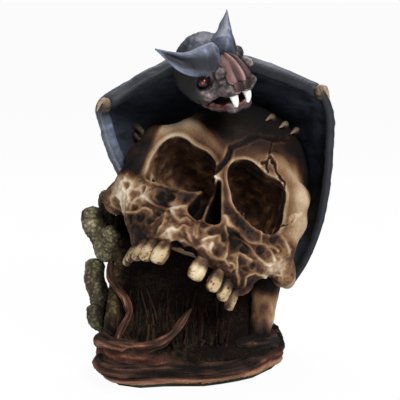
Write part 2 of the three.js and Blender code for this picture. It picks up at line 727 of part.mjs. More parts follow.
function wingSheet(wing, extra, lengthwise, across) {
  const one = at(0, 0, 0);
  const two = at(0, 0, 0);
  return warp(new THREE.BoxGeometry(1, 1, 1, lengthwise, across, 1), (point) => {
    const t = point.y + 0.5;
    const bay = Math.abs(Math.sin(Math.PI * FINGER_COUNT * t)) * smoothstep(t, 0, 0.15);
    const scallop = 1 - SCALLOP_SHARE * bay;
    const s = (point.x + 0.5) * scallop;
    const step = 0.004;
    const middle = wingPoint(wing, s, t);
    one.copy(wingPoint(wing, Math.min(1, s + step), t)).sub(wingPoint(wing, Math.max(0, s - step), t));
    two.copy(wingPoint(wing, s, Math.min(1, t + step))).sub(wingPoint(wing, s, Math.max(0, t - step)));
    const out = one.cross(two).normalize().multiplyScalar(wing.side);
    const fan = clamp((s - 0.22) / 0.78, 0, 1);
    const phase = (t * (FINGER_COUNT + 0.5) * lerp(1.7, 1, fan)) % 1;
    const ridge = FINGER_RIDGE * Math.exp(-(((phase - 0.5) / 0.16) ** 2)) * smoothstep(s, 0.2, 0.4);
    const rim = WING_RIM * Math.exp(-((t / 0.05) ** 2));
    const half = WING_THICKNESS / 2 + extra + rim / 2;
    const lift = point.z > 0 ? half + ridge : -half;
    point.copy(middle).addScaledVector(out, lift);
  });
}

const armSolids = {};
for (const [name, wing] of Object.entries(wings)) {
  wing.lead = bend(...wing.arm, ...wing.edge);
  wing.rear = bend(...seam, ...wing.tip);
  const armRadii = rounded(ARM_RADIUS, ARM_RADIUS * 0.8);
  const arm = (extra) => solid(sweep(bend(...wing.arm), grown(armRadii, extra), 8, 8));
  armSolids[name] = arm(CLEARANCE);
  place(`arm_${name}`, skinOf(carve(arm(0), [bodyRoom, headRoom, skullRoom])), "bat");
}

const tailPath = bend(at(15, 44, 170), at(18, 60, 156), at(23, 76, 124), at(25.5, 80, 92), at(25, 72, 60));
const tail = (extra) => {
  const shape = (t) => [(TAIL_RADIUS + extra) * lerp(1, 0.4, t), 4 * lerp(1, 0.6, t) + extra];
  return solid(sweep(tailPath, shape, 9, 8, at(1, 0, 0)));
};
place("bat_tail", skinOf(carve(tail(0), [skullRoom, bodyRoom])), "bat");

const wingRooms = {};
for (const [name, wing] of Object.entries(wings)) {
  const sheet = wingSheet(wing, 0, 13, 10);
  if (wing.side < 0) flip(sheet);
  const body = carve(solid(sheet), [skullRoom, bodyRoom, armSolids[name], tail(CLEARANCE), headRoom]);
  place(`wing_${name}`, skinOf(body), "wing");
  const room = wingSheet(wing, CLEARANCE, 13, 10);
  if (wing.side < 0) flip(room);
  wingRooms[name] = solid(room);
}

// Claws on the wrists and toes on the skull
for (const [name, wing] of Object.entries(wings)) {
  const wrist = wing.arm[2];
  const out = wing.side;
  const path = bend(
    wrist.clone().add(at(0, -2, -2)),
    wrist.clone().add(at(-0.5 * out, -6.5, 2.4)),
    wrist.clone().add(at(2.2 * out, -9, 3)),
    wrist.clone().add(at(4.6 * out, -9.5, -2.6)),
  );
  const claw = solid(sweep(path, pointed(THUMB_RADIUS), 7, 6, at(0, 1, 0)));
  place(`thumb_claw_${name}`, skinOf(carve(claw, [armSolids[name], wingRooms[name]])), "claw");
}

// The left toes grip the forehead; the right toes hang from the inside of the wing beside it.
const rightToes = [[0.47, 0.6], [0.53, 0.58], [0.6, 0.56]];
const leftToes = [[8.6, 41], [16.4, 41.9], [22.5, 44]];
const toeCurves = {
  left: leftToes.map(([x, z]) => {
    const grip = onFace(x, z, 0.5);
    const away = grip.clone().sub(craniumMiddle).normalize();
    const up = at(0.25, 0.55, 0.8);
    const path = bend(
      grip.clone().addScaledVector(up, TOE_LENGTH * 0.75).addScaledVector(away, -3.2),
      grip.clone().addScaledVector(up, TOE_LENGTH * 0.35).addScaledVector(away, 1.4),
      grip.clone().addScaledVector(up, -TOE_LENGTH * 0.1).addScaledVector(away, 0.6),
    );
    path.points.forEach((point) => point.applyMatrix4(skullFrame.matrix));
    return path;
  }),
  right: rightToes.map(([s, t]) => {
    const foot = wingPoint(wings.right, s, t);
    const inward = hoodMiddle.clone().sub(foot).normalize();
    const forward = at(0.25, -0.75, -0.35);
    return bend(
      foot.clone().addScaledVector(inward, -1),
      foot.clone().addScaledVector(inward, 3.6).addScaledVector(forward, TOE_LENGTH * 0.4),
      foot.clone().addScaledVector(inward, 4).addScaledVector(forward, TOE_LENGTH),
    );
  }),
};
for (const [name, curves] of Object.entries(toeCurves)) {
  curves.forEach((curve, index) => {
    const claw = solid(sweep(curve, pointed(TOE_RADIUS), 5, 6, at(1, 0, 0)));
    const cuts = [skullRoom, wingRooms[name], bodyRoom, armSolids[name], headRoom];
    place(`toe_claw_${name}_${index + 1}`, skinOf(carve(claw, cuts)), "claw");
  });
}

// Base, felt, roots and branches
const outline = (turn) => {
  const wide = 0.05 * Math.cos(3 * turn + 0.6) + 0.035 * Math.cos(5 * turn - 0.4);
  const fine = 0.02 * Math.cos(9 * turn);
  const corner = 1 + 0.12 * Math.exp(-(((turn + 2.1) / 0.35) ** 2));
  return (1 + wide + fine) * corner;
};
const mound = (x, y, share) => {
  const slope = lerp(0.5, MOUND_CLIFF, smoothstep(-x, 0.1 * BASE_HALF_WIDTH, 0.6 * BASE_HALF_WIDTH));
  const bank = smoothstep(1 - share, 0.06, slope) * smoothstep(y, MOUND_FRONT, MOUND_FRONT + MOUND_RUN);
  const hump = Math.exp(-(((x - HUMP_X) / HUMP_REACH) ** 2) - ((y - HUMP_Y) / HUMP_REACH) ** 2);
  return PLINTH_HEIGHT + (MOUND_HEIGHT - PLINTH_HEIGHT) * bank + HUMP_HEIGHT * hump;
};
const baseFloor = FELT_THICKNESS + CLEARANCE;

function disc(around, down, shape) {
  const ball = new THREE.SphereGeometry(1, around, down).rotateX(Math.PI / 2);
  return warp(ball, (point) => {
    const turn = Math.atan2(point.y, point.x);
    const fall = Math.acos(clamp(point.z, -1, 1)) / Math.PI;
    shape(point, turn, fall);
  });
}

const baseSkin = disc(24, 14, (point, turn, fall) => {
  const share = fall < 0.72 ? 0.94 * (fall / 0.72) : fall < 0.88 ? 1 : (1 - fall) / 0.12;
  const reach = outline(turn) * share;
  const x = BASE_HALF_WIDTH * reach * Math.cos(turn);
  const y = BASE_HALF_DEPTH * reach * Math.sin(turn);
  const wave = LUMP_HEIGHT * Math.sin(LUMP_TURN * x + 1) * Math.cos(LUMP_TURN * y) * (fall < 0.7 ? 1 : 0);
  const top = mound(x, y, share) + wave;
  const side = lerp(top - 3, baseFloor, clamp((fall - 0.7) / 0.16, 0, 1));
  point.set(x, y, fall < 0.7 ? top : fall < 0.86 ? side : baseFloor);
});

const feltSkin = disc(28, 5, (point, turn, fall) => {
  const share = fall < 0.5 ? fall / 0.5 : (1 - fall) / 0.5;
  const reach = outline(turn) * Math.min(1, share * 1.34);
  const x = (BASE_HALF_WIDTH - FELT_INSET) * reach * Math.cos(turn);
  const y = (BASE_HALF_DEPTH - FELT_INSET) * reach * Math.sin(turn);
  point.set(x, y, fall < 0.45 ? FELT_THICKNESS : fall > 0.55 ? 0 : FELT_THICKNESS / 2);
});
place("felt_pad", feltSkin, "felt");

// A place beside the base: shares of its half-width and half-depth, and the rise over the plinth
const spot = (x, y, rise) => at(x * BASE_HALF_WIDTH, y * BASE_HALF_DEPTH, PLINTH_HEIGHT + rise);
const bars = {
  root_front: {
    path: bend(
      spot(-0.904, -0.481, -11),
      spot(-0.712, -1.000, -11),
      spot(-0.154, -0.926, -12.5),
      spot(0.385, -0.889, -12),
      spot(0.827, -0.444, -11),
    ),
    radii: rounded(FRONT_ROOT_RADIUS, FRONT_ROOT_RADIUS * 0.8, 0.1),
    coat: "root",
  },
  root_left: {
    path: bend(
      spot(-0.942, -0.556, 1),
      spot(-0.654, -0.833, 0),
      spot(-0.385, -0.870, 0),
      spot(-0.135, -0.796, 6),
      spot(0.077, -0.704, 20),
    ),
    radii: rounded(LEFT_ROOT_RADIUS, 1.6, 0.08),
    coat: "root",
  },
  root_right: {
    path: bend(
      spot(0.538, -0.722, 0),
      spot(0.827, -0.481, -1),
      spot(0.962, -0.074, -6),
      spot(0.962, 0.296, -12),
    ),
    radii: rounded(RIGHT_ROOT_RADIUS * 0.7, RIGHT_ROOT_RADIUS),
    coat: "root",
  },
  trunk: {
    path: bend(
      spot(-0.846, -0.074, -3),
      spot(-0.923, -0.019, 15),
      spot(-0.990, 0.074, 29),
      spot(-0.971, 0.111, 39),
    ),
    radii: rounded(TRUNK_RADIUS, TRUNK_RADIUS * 0.85),
    coat: "moss",
  },
  branch_stump: {
    path: bend(
      spot(-0.885, -0.185, 1),
      spot(-0.962, -0.185, 9),
      spot(-0.981, -0.185, 16),
    ),
    radii: rounded(NUB_RADIUS, NUB_RADIUS * 1.1, 0.2),
    coat: "moss",
  },
  branch_upper: {
    path: bend(
      spot(-0.808, 0.000, 39),
      spot(-0.904, 0.093, 49),
      spot(-1.000, 0.130, 59),
      spot(-1.010, 0.130, 69),
    ),
    radii: rounded(BRANCH_RADIUS * 0.85, BRANCH_RADIUS),
    coat: "moss",
  },
  branch_nub: {
    path: bend(
      spot(-0.827, 0.241, 55),
      spot(-0.865, 0.259, 65),
      spot(-0.875, 0.278, 77),
    ),
    radii: rounded(NUB_RADIUS, NUB_RADIUS, 0.25),
    coat: "moss",
  },
  branch_side: {
    path: bend(
      spot(-0.846, 0.000, 45),
      spot(-0.798, -0.056, 50),
      spot(-0.788, -0.074, 57),
    ),
    radii: rounded(NUB_RADIUS, NUB_RADIUS * 0.9, 0.25),
    coat: "moss",
  },
  vine: {
    path: bend(
      spot(-0.798, -0.167, 41),
      spot(-0.788, -0.296, 31),
      spot(-0.625, -0.444, 21),
      spot(-0.596, -0.556, 14),
      spot(-0.683, -0.685, 6),
      spot(-0.731, -0.778, -3),
    ),
    radii: rounded(VINE_RADIUS, VINE_RADIUS, 0.06),
    coat: "root",
  },
  jaw_stub: {
    path: bend(
      spot(0.769, -0.407, -5),
      spot(0.837, -0.333, 13),
      spot(0.923, -0.222, 42),
    ),
    radii: rounded(BONE_RADIUS * 1.1, BONE_RADIUS * 1.55, 0.12),
    coat: "bone",
  },
};
const others = [skullRoom, ...Object.values(wingRooms)];
const laid = [];
for (const [name, bar] of Object.entries(bars)) {
  const cut = carve(solid(sweep(bar.path, bar.radii, 8, 7)), [...others, ...laid]);
  place(name, skinOf(cut), bar.coat);
  laid.push(solid(sweep(bar.path, grown(bar.radii, CLEARANCE), 8, 7)));
}
place("base_mound", skinOf(carve(solid(baseSkin), [...others, ...laid])), "earth");

export default decoration;
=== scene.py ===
"""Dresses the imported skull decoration: bone, bat, wings, roots, moss and felt, on a white floor.

Lengths in the shape functions are millimetres in the part's own frame; meshes are written in metres.
"""
import math

import bpy
import numpy as np
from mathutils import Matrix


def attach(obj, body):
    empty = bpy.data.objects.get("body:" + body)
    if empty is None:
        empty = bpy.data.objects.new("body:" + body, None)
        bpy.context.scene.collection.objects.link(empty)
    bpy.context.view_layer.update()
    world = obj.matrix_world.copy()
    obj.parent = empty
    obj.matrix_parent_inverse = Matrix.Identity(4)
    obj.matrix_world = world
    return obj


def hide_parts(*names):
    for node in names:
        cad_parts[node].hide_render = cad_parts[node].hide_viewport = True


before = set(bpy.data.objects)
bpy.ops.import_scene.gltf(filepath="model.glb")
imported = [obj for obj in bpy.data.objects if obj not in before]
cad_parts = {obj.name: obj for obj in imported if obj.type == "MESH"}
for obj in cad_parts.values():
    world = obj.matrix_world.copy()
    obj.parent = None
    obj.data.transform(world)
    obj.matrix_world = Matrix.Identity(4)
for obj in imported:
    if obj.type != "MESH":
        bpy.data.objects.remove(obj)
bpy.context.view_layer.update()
MM = 0.001
UNIT = np.eye(3, dtype=np.float32)

# Sizes shared with the solids
CRANIUM_HALF = np.float32((43, 48, 44))
CRANIUM_MIDDLE = np.float32((0, 46, 16))
NOSE_TOP = -8.0
JAW_SHIFT = 3.0
CHEEK_TUCK = 0.07
ARCH_HALF_WIDTH = 30.0
ARCH_DEPTH = 34.0
ARCH_BACK = 26.0
GUM_LEVEL = -45.0
GUM_RADIUS = 7.0
TOOTH_ROOT = 6.0
TOOTH_CROWN = 13.5
TOOTH_HALF_WIDTH = 4.3
TOOTH_HALF_THICKNESS = 3.3
RIGHT_TEETH = (-21.0, -36.5, -50.0, -64.0, -79.0)
LEFT_TEETH = (20.0, 41.0, 58.0, 77.0)
EMPTY_SOCKETS = (-8.0, 6.0)
CLEARANCE = 0.3
WING_THICKNESS = 3.2
WING_RIM = 2.2
FINGER_RIDGE = 1.3
FINGER_COUNT = 3
SCALLOP_SHARE = 0.07
SEAM_HALF_GAP = 2.4
WING_SWELL = -5.0
TOE_LENGTH = 12.0
BASE_HALF_WIDTH = 52.0
BASE_HALF_DEPTH = 54.0
PLINTH_HEIGHT = 21.0
MOUND_HEIGHT = 76.0
MOUND_FRONT = -34.0
MOUND_RUN = 32.0
LUMP_HEIGHT = 2.2
LUMP_TURN = 0.3
HUMP_HEIGHT = 14.0
HUMP_Y = 12.0
HUMP_REACH = 9.0
BASE_FLOOR = 1.9
ARM_RADIUS = 4.6
THUMB_RADIUS = 2.5
TOE_RADIUS = 2.1
EAR_HALF_WIDTH = 9.5
FANG_LENGTH = 9.0
LEAF_HALF_WIDTH = 8.0

# Sizes that differ a little from those of the solids
MOUND_CLIFF = 0.185
HUMP_X = -38.5

# View from the front: target, distance and width in metres, sensor in millimetres
VIEW_TARGET = np.array((8.5, 0.0, 94.56)) * MM
VIEW_ELEVATION = math.radians(9)
VIEW_DISTANCE = 0.9
VIEW_WIDTH = 0.225
VIEW_UP = np.float32((0, math.sin(VIEW_ELEVATION), math.cos(VIEW_ELEVATION)))
SENSOR = 36.0


# Placement

def turned(x, y, z):
    """Rotation that rolls about y, then leans about x, then turns about z, in degrees."""
    a, b, c = np.radians((x, y, z))
    lean = np.array([[1, 0, 0], [0, math.cos(a), -math.sin(a)], [0, math.sin(a), math.cos(a)]])
    roll = np.array([[math.cos(b), 0, math.sin(b)], [0, 1, 0], [-math.sin(b), 0, math.cos(b)]])
    turn = np.array([[math.cos(c), -math.sin(c), 0], [math.sin(c), math.cos(c), 0], [0, 0, 1]])
    return (turn @ lean @ roll).astype(np.float32)


SKULL_AT = np.float32((20.3, -21.5, 113.9))
SKULL_TURN = turned(-30.8, 24.7, -0.9)
HEAD_AT = np.float32((14, -22, 166))
HEAD_TURN = turned(0, -14, 41)


def from_skull(p):
    """Skull frame to part frame."""
    return np.float32(p) @ SKULL_TURN.T + SKULL_AT


def to_skull(p):
    """Part frame to skull frame."""
    return (p - SKULL_AT) @ SKULL_TURN


def from_head(p):
    """Bat head frame to part frame."""
    return np.float32(p) @ HEAD_TURN.T + HEAD_AT


# Measures: negative inside, about a distance outside

def ball(p, middle, half):
    """Ellipsoid: with q the offset over the half axes and k its length, k (k - 1) over the length of q over
    half."""
    half = np.float32(half)
    q = (p - np.float32(middle)) / half
    k = np.linalg.norm(q, axis=-1)
    return k * (k - 1) / np.maximum(np.linalg.norm(q / half, axis=-1), 1e-6)


def bar(p, a, b, ra, rb):
    """Tapered bar: distance to the segment a-b less a radius that runs from ra to rb."""
    a = np.float32(a)
    d = np.float32(b) - a
    t = np.clip(((p - a) @ d) / (d @ d), 0, 1)
    return np.linalg.norm(p - a - t[..., None] * d, axis=-1) - (ra + (rb - ra) * t)


def join(one, two, soft):
    """Union with a fillet: the lesser of the two, rounded over the width soft."""
    h = np.clip(0.5 + 0.5 * (two - one) / soft, 0, 1)
    return two + (one - two) * h - soft * h * (1 - h)


def carve(body, tool, soft):
    """Body less tool, with an edge rounded over the width soft."""
    return -join(-body, tool, soft)


def ramp(x, low, high):
    """Smooth step from 0 at low to 1 at high."""
    t = np.clip((x - low) / (high - low), 0, 1)
    return t * t * (3 - 2 * t)


def fading(p, spot, reach, power=2):
    """Share that is 1 at a spot and falls off round it: e to the minus distance over reach, to that
    power."""
    return np.exp(-(np.linalg.norm(p - np.array(spot), axis=1) / reach) ** power)


def direction(v):
    """Vectors brought to length 1."""
    return v / np.maximum(np.linalg.norm(v, axis=-1, keepdims=True), 1e-6)


def folded(p):
    """The place with its x made positive, for shapes that are the same on both sides."""
    return np.concatenate([np.abs(p[..., :1]), p[..., 1:]], -1)


# Fixed noise

def scramble(i, j, k, seed):
    """Whole numbers mixed to a fixed value from 0 to 1."""
    h = (i * 374761393 + j * 668265263 + k * 1274126177 + seed * 974634521) & 0x7FFFFFFF
    h = ((h ^ (h >> 13)) * 1103515245) & 0x7FFFFFFF
    h = ((h ^ (h >> 16)) * 12820163) & 0x7FFFFFFF
    return ((h ^ (h >> 11)) & 0xFFFFF).astype(np.float32) / 1048575.0


def noise(p, size, seed=0):
    """Value noise from -1 to 1: fixed values on a lattice of that size, blended smoothly between its
    corners."""
    q = p / np.float32(size)
    base = np.floor(q).astype(np.int64)
    t = q - base
    t = t * t * (3 - 2 * t)
    total = 0
    for corner in np.ndindex(2, 2, 2):
        i, j, k = np.moveaxis(base + np.array(corner), -1, 0)
        total = total + np.prod(np.where(corner, t, 1 - t), axis=-1) * scramble(i, j, k, seed)
    return 2 * total - 1


def rough(p, size, seed=0, layers=3):
    """Layers of noise, each half the size and half the height of the one before."""
    return sum(noise(p, np.float32(size) / 2 ** i, seed + i) / 2 ** i for i in range(layers))


def shaken(p, size, far, seed):
    """The places moved about by noise of that size, up to far along each axis."""
    return p + far * np.stack([noise(p, size, seed + k) for k in range(3)], -1)


def cells(p, size, seed=0):
    """Distances to the nearest and second nearest of one fixed point per lattice cell, over the size."""
    q = p / np.float32(size)
    base = np.floor(q).astype(np.int64)
    first = np.full(q.shape[:-1], 9.0, np.float32)
    second = first.copy()
    for step in np.ndindex(3, 3, 3):
        spot = base + np.array(step) - 1
        i, j, k = np.moveaxis(spot, -1, 0)
        near = np.stack([scramble(i, j, k, seed + m) for m in (11, 23, 37)], -1)
        away = np.linalg.norm(q - spot - near, axis=-1)
        second = np.minimum(second, np.maximum(first, away))
        first = np.minimum(first, away)
    return first, second


# Curves, as in the solids

def bend(points, t):
    """Points along a smooth curve through the given points: cubic spans with slopes weighted by the root of
    length."""
    p = np.array(points, dtype=np.float64)
    p = np.vstack([2 * p[0] - p[1], p, 2 * p[-1] - p[-2]])
    spans = len(p) - 3
    where = np.clip(np.asarray(t, dtype=np.float64), 0, 1) * spans
    i = np.minimum(where.astype(int), spans - 1)
    w = (where - i)[..., None]
    p0, p1, p2, p3 = p[i], p[i + 1], p[i + 2], p[i + 3]
    ends = ((p0, p1), (p1, p2), (p2, p3))
    d0, d1, d2 = (np.sqrt(np.linalg.norm(b - a, axis=-1))[..., None] for a, b in ends)
    m1 = ((p1 - p0) / d0 - (p2 - p0) / (d0 + d1) + (p2 - p1) / d1) * d1
    m2 = ((p2 - p1) / d1 - (p3 - p1) / (d1 + d2) + (p3 - p2) / d2) * d1
    c2 = 3 * (p2 - p1) - 2 * m1 - m2
    c3 = 2 * (p1 - p2) + m1 + m2
    return (p1 + m1 * w + c2 * w ** 2 + c3 * w ** 3).astype(np.float32)


def chain(p, points, ra, rb, count):
    """Measure of a bar that follows a curve, as count short bars joined end to end."""
    t = np.linspace(0, 1, count + 1)
    spots = bend(points, t)
    radii = ra + (rb - ra) * t
    links = (bar(p, spots[i], spots[i + 1], radii[i], radii[i + 1]) for i in range(count))
    return np.minimum.reduce(list(links))


def near_path(v, n, path):
    """Distance from each vertex to a broken line, with the part along the vertex normal counted at a
    third."""
    best = np.full(len(v), 99.0, np.float32)
    for a, b in zip(np.float32(path), np.float32(path[1:])):
        d = b - a
        t = np.clip(((v - a) @ d) / max(d @ d, 1e-6), 0, 1)
        off = v - a - t[:, None] * d
        out = np.sum(off * n, axis=1)
        best = np.minimum(best, np.sqrt(np.maximum(np.sum(off * off, axis=1) - 0.89 * out * out, 0)))
    return best


# Meshes

def lean(measure, verts, reach=0.4):
    """A measure and its unit slope at each vertex, from steps along the three axes."""
    slope = np.stack([measure(verts + reach * e) - measure(verts - reach * e) for e in UNIT], -1)
    return measure(verts), direction(slope)


def skin(measure, axes):
    """Closed skin where a measure is zero, by surface nets on a grid with those axes: one vertex in each
    cell that the surface crosses, at the mean of the crossings on its edges, then pulled on to the surface
    along the slope, and one quad for each crossed grid edge, between the four cells round it. Far from the
    surface every fourth place is enough."""
    shape = [len(a) for a in axes]
    grid = np.stack(np.meshgrid(*axes, indexing="ij"), -1).astype(np.float32)
    f = measure(grid[::4, ::4, ::4])
    for axis in range(3):
        f = np.take(f.repeat(4, axis), np.arange(shape[axis]), axis)
    near = np.abs(f) < 9
    f[near] = measure(grid[near])
    inside = f < 0
    n = np.array(shape) - 1
    full = sum(inside[i:n[0] + i, j:n[1] + j, k:n[2] + k].astype(np.int8) for i, j, k in np.ndindex(2, 2, 2))
    live = (full > 0) & (full < 8)
    number = np.full(live.shape, -1, np.int64)
    number[live] = np.arange(live.sum())
    cell = np.argwhere(live)
    total = np.zeros((len(cell), 3))
    hits = np.zeros((len(cell), 1))
    unit = np.eye(3, dtype=int)
    for axis in range(3):
        for a, b in np.ndindex(2, 2):
            c0 = cell + a * unit[(axis + 1) % 3] + b * unit[(axis + 2) % 3]
            f0 = f[tuple(c0.T)]
            f1 = f[tuple((c0 + unit[axis]).T)]
            crossed = (f0 < 0) != (f1 < 0)
            t = np.where(crossed, f0 / np.where(crossed, f0 - f1, 1), 0)
            total += (c0 + t[:, None] * unit[axis]) * crossed[:, None]
            hits += crossed[:, None]
    spot = total / hits
    verts = [np.interp(spot[:, k], np.arange(shape[k]), axes[k]) for k in range(3)]
    verts = np.stack(verts, -1).astype(np.float32)
    quads = []
    for axis in range(3):
        order = (axis, (axis + 1) % 3, (axis + 2) % 3)
        a = np.moveaxis(inside, order, (0, 1, 2))
        ids = np.moveaxis(number, order, (0, 1, 2))
        change = a[:-1, 1:-1, 1:-1].astype(np.int8) - a[1:, 1:-1, 1:-1]
        i, j, k = np.nonzero(change)
        ring = np.stack([ids[i, j, k], ids[i, j + 1, k], ids[i, j + 1, k + 1], ids[i, j, k + 1]], -1)
        back = change[i, j, k] < 0
        ring[back] = ring[back][:, ::-1]
        quads.append(ring)
    for _ in range(2):
        value, slope = lean(measure, verts)
        verts = verts - np.clip(value, -1, 1)[:, None] * slope
    return verts, np.concatenate(quads)


def spaced(*spans):
    """Grid places along one axis from (start, end, step) spans."""
    return np.concatenate([np.arange(a, b, s, dtype=np.float32) for a, b, s in spans])


def openness(measure, verts, normals, reaches):
    """How open the space in front of each vertex is: the mean of the measure over the distance, held to 0
    to 1."""
    return np.mean([np.clip(measure(verts + normals * r) / r, 0, 1) for r in reaches], axis=0)


def tube(rings):
    """Closed bar through rings of points, with a fan at each end."""
    count, sides = rings.shape[:2]
    i, j = np.meshgrid(np.arange(count - 1), np.arange(sides), indexing="ij")
    k = (j + 1) % sides
    here = i * sides
    there = here + sides
    faces = np.stack([here + j, here + k, there + k, there + j], -1).reshape(-1, 4)
    verts = np.concatenate([rings.reshape(-1, 3), rings[:1].mean(1), rings[-1:].mean(1)])
    start = count * sides
    end = start + 1
    last = start - sides
    fans = [[start, (j + 1) % sides, j] for j in range(sides)]
    fans += [[end, last + j, last + (j + 1) % sides] for j in range(sides)]
    return verts.astype(np.float32), faces.tolist() + fans


def capped(wash_and_shade, start, end):
    """Colour mark of a tube, antiquing with painted light and shade: that of its ring points, then that of
    the middles of its two fans.
    """
    return {"wash_and_shade": np.concatenate([wash_and_shade.ravel(), [start, end]])}


def swept(points, radii, steps, sides, side=(0, 0, 1), power=2.0):
    """Rings round a curve: half-width along the direction side and half-thickness across it from radii(t),
    round the ring as a rounded square of that power. Also gives the curve's own points, and t and the turn
    for every ring point."""
    t = np.linspace(0, 1, steps + 1)
    spots = bend(points, t)
    along = direction(np.gradient(spots, axis=0))
    side = np.float32(side)
    across = direction(side - along * (along @ side)[:, None])
    through = np.cross(along, across)
    turn = np.linspace(0, 2 * np.pi, sides, endpoint=False)
    fat = (np.abs(np.cos(turn)) ** power + np.abs(np.sin(turn)) ** power) ** (-1 / power)
    wide, thick = radii(t)
    one = (wide[:, None] * fat * np.cos(turn))[..., None] * across[:, None]
    two = (thick[:, None] * fat * np.sin(turn))[..., None] * through[:, None]
    t, turn = np.meshgrid(t, turn, indexing="ij")
    return spots[:, None] + one + two, spots[:, None], t, turn


def sheet(front, back):
    """Closed sheet between two grids of points, with a rim round the edge."""
    m, n = front.shape[:2]
    number = np.arange(m * n).reshape(m, n)
    quads = np.stack([number[:-1, :-1], number[1:, :-1], number[1:, 1:], number[:-1, 1:]], -1).reshape(-1, 4)
    edge = np.concatenate([number[0, :-1], number[:-1, -1], number[-1, :0:-1], number[:0:-1, 0]])
    after = np.roll(edge, -1)
    rim = np.stack([edge, after, after + m * n, edge + m * n], -1)
    faces = np.concatenate([quads, quads[:, ::-1] + m * n, rim])
    return np.concatenate([front.reshape(-1, 3), back.reshape(-1, 3)]).astype(np.float32), faces.tolist()


def merged(parts):
    """Several (verts, faces) shapes as one."""
    verts = []
    faces = []
    start = 0
    for v, f in parts:
        verts.append(v)
        faces += [[i + start for i in face] for face in f]
        start += len(v)
    return np.concatenate(verts), faces


def piece(name, verts, faces, material, nodes, marks=None):
    """A finished piece in metres, faces outwards, with its marks as point attributes, riding on the one
    body."""
    faces = faces if isinstance(faces, list) else faces.tolist()
    corners = np.array([face[:3] for face in faces])
    a, b, c = (verts[corners[:, k]].astype(np.float64) for k in range(3))
    if np.sum(a * np.cross(b, c)) < 0 and len(faces[0]) == 4:
        faces = [face[::-1] for face in faces]
    mesh = bpy.data.meshes.new(name)
    mesh.from_pydata((verts * MM).tolist(), [], faces)
    mesh.shade_smooth()
    for mark, values in (marks or {}).items():
        layer = mesh.attributes.new(mark, "FLOAT", "POINT")
        values = np.ascontiguousarray(np.clip(values, 0, 1), dtype=np.float32)
        layer.data.foreach_set("value", values.ravel())
    mesh.materials.append(material)
    made = bpy.data.objects.new(name, mesh)
    bpy.context.scene.collection.objects.link(made)
    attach(made, "root")
    if nodes:
        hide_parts(*nodes)
    return made


# Materials

def wired(tree, kind, *values, operation=None, **named):
    """A node with its inputs, by order or by name, set to values or linked to sockets."""
    node = tree.nodes.new(kind)
    if operation:
        node.operation = operation
    pairs = [(node.inputs[i], value) for i, value in enumerate(values)]
    pairs += [(node.inputs[key.replace("_", " ")], value) for key, value in named.items()]
    for socket, value in pairs:
        if isinstance(value, bpy.types.NodeSocket):
            tree.links.new(value, socket)
        else:
            socket.default_value = value
    return node


def mottle_group():
    """Shared effect: soft patches and fine grain in object space."""
    tree = bpy.data.node_groups.new("mottle", "ShaderNodeTree")
    for label in ("Patch Scale", "Grain Scale"):
        tree.interface.new_socket(label, in_out="INPUT", socket_type="NodeSocketFloat")
    for label in ("Patch", "Grain"):
        tree.interface.new_socket(label, in_out="OUTPUT", socket_type="NodeSocketFloat")
    inlet = tree.nodes.new("NodeGroupInput")
    outlet = tree.nodes.new("NodeGroupOutput")
    place = tree.nodes.new("ShaderNodeTexCoord").outputs["Object"]
    patch = wired(tree, "ShaderNodeTexNoise", Vector=place, Scale=inlet.outputs["Patch Scale"], Detail=4.0)
    grain = wired(tree, "ShaderNodeTexNoise", Vector=place, Scale=inlet.outputs["Grain Scale"], Detail=3.0)
    tree.links.new(patch.outputs[0], outlet.inputs["Patch"])
    tree.links.new(grain.outputs[0], outlet.inputs["Grain"])
    return tree


MOTTLE = mottle_group()

# Depth of the painted grain, in metres
GRAIN_DEPTH = 0.0006


def colours(tree, factor, stops):
    """Colour ramp with the given (place, colour) stops."""
    node = tree.nodes.new("ShaderNodeValToRGB")
    tree.links.new(factor, node.inputs[0])
    band = node.color_ramp
    while len(band.elements) < len(stops):
        band.elements.new(0.5)
    for element, (spot, colour) in zip(band.elements, stops):
        element.position = spot
        element.color = (*colour, 1)
    return node.outputs[0]


def painted(name, stops, other=None, patch=60.0, grain=900.0, patch_share=0.2, grain_share=0.1,
            gloss=(0.5, 0.8), bump=0.25, specular=0.35):
    """Antiqued paint: the colour mark, antiquing with painted light and shade, picks the colour from
    highlight to deepest shade, patches and grain shift it, and where the mark stain is set the colour comes
    from the other stops."""
    material = bpy.data.materials.new(name)
    material.use_nodes = True
    tree = material.node_tree
    shader = tree.nodes["Principled BSDF"]
    wash_and_shade = tree.nodes.new("ShaderNodeAttribute")
    wash_and_shade.attribute_name = "wash_and_shade"
    mottle = tree.nodes.new("ShaderNodeGroup")
    mottle.node_tree = MOTTLE
    mottle.inputs["Patch Scale"].default_value = patch
    mottle.inputs["Grain Scale"].default_value = grain
    level = wash_and_shade.outputs["Fac"]
    for source, share in (("Patch", patch_share), ("Grain", grain_share)):
        centred = wired(tree, "ShaderNodeMath", mottle.outputs[source], 0.5, operation="SUBTRACT").outputs[0]
        level = wired(tree, "ShaderNodeMath", centred, share * 2, level, operation="MULTIPLY_ADD").outputs[0]
    colour = colours(tree, level, stops)
    if other:
        stain = tree.nodes.new("ShaderNodeAttribute")
        stain.attribute_name = "stain"
        blend = tree.nodes.new("ShaderNodeMix")
        blend.data_type = "RGBA"
        tree.links.new(stain.outputs["Fac"], blend.inputs["Factor"])
        tree.links.new(colour, blend.inputs[6])
        tree.links.new(colours(tree, level, other), blend.inputs[7])
        colour = blend.outputs[2]
    tree.links.new(colour, shader.inputs["Base Color"])
    shine = wired(tree, "ShaderNodeMapRange", level)
    shine.inputs["To Min"].default_value = gloss[0]
    shine.inputs["To Max"].default_value = gloss[1]
    tree.links.new(shine.outputs[0], shader.inputs["Roughness"])
    shader.inputs["Specular IOR Level"].default_value = specular
    relief = wired(tree, "ShaderNodeBump", Height=mottle.outputs["Grain"], Strength=bump,
                   Distance=GRAIN_DEPTH)
    tree.links.new(relief.outputs[0], shader.inputs["Normal"])
    return material


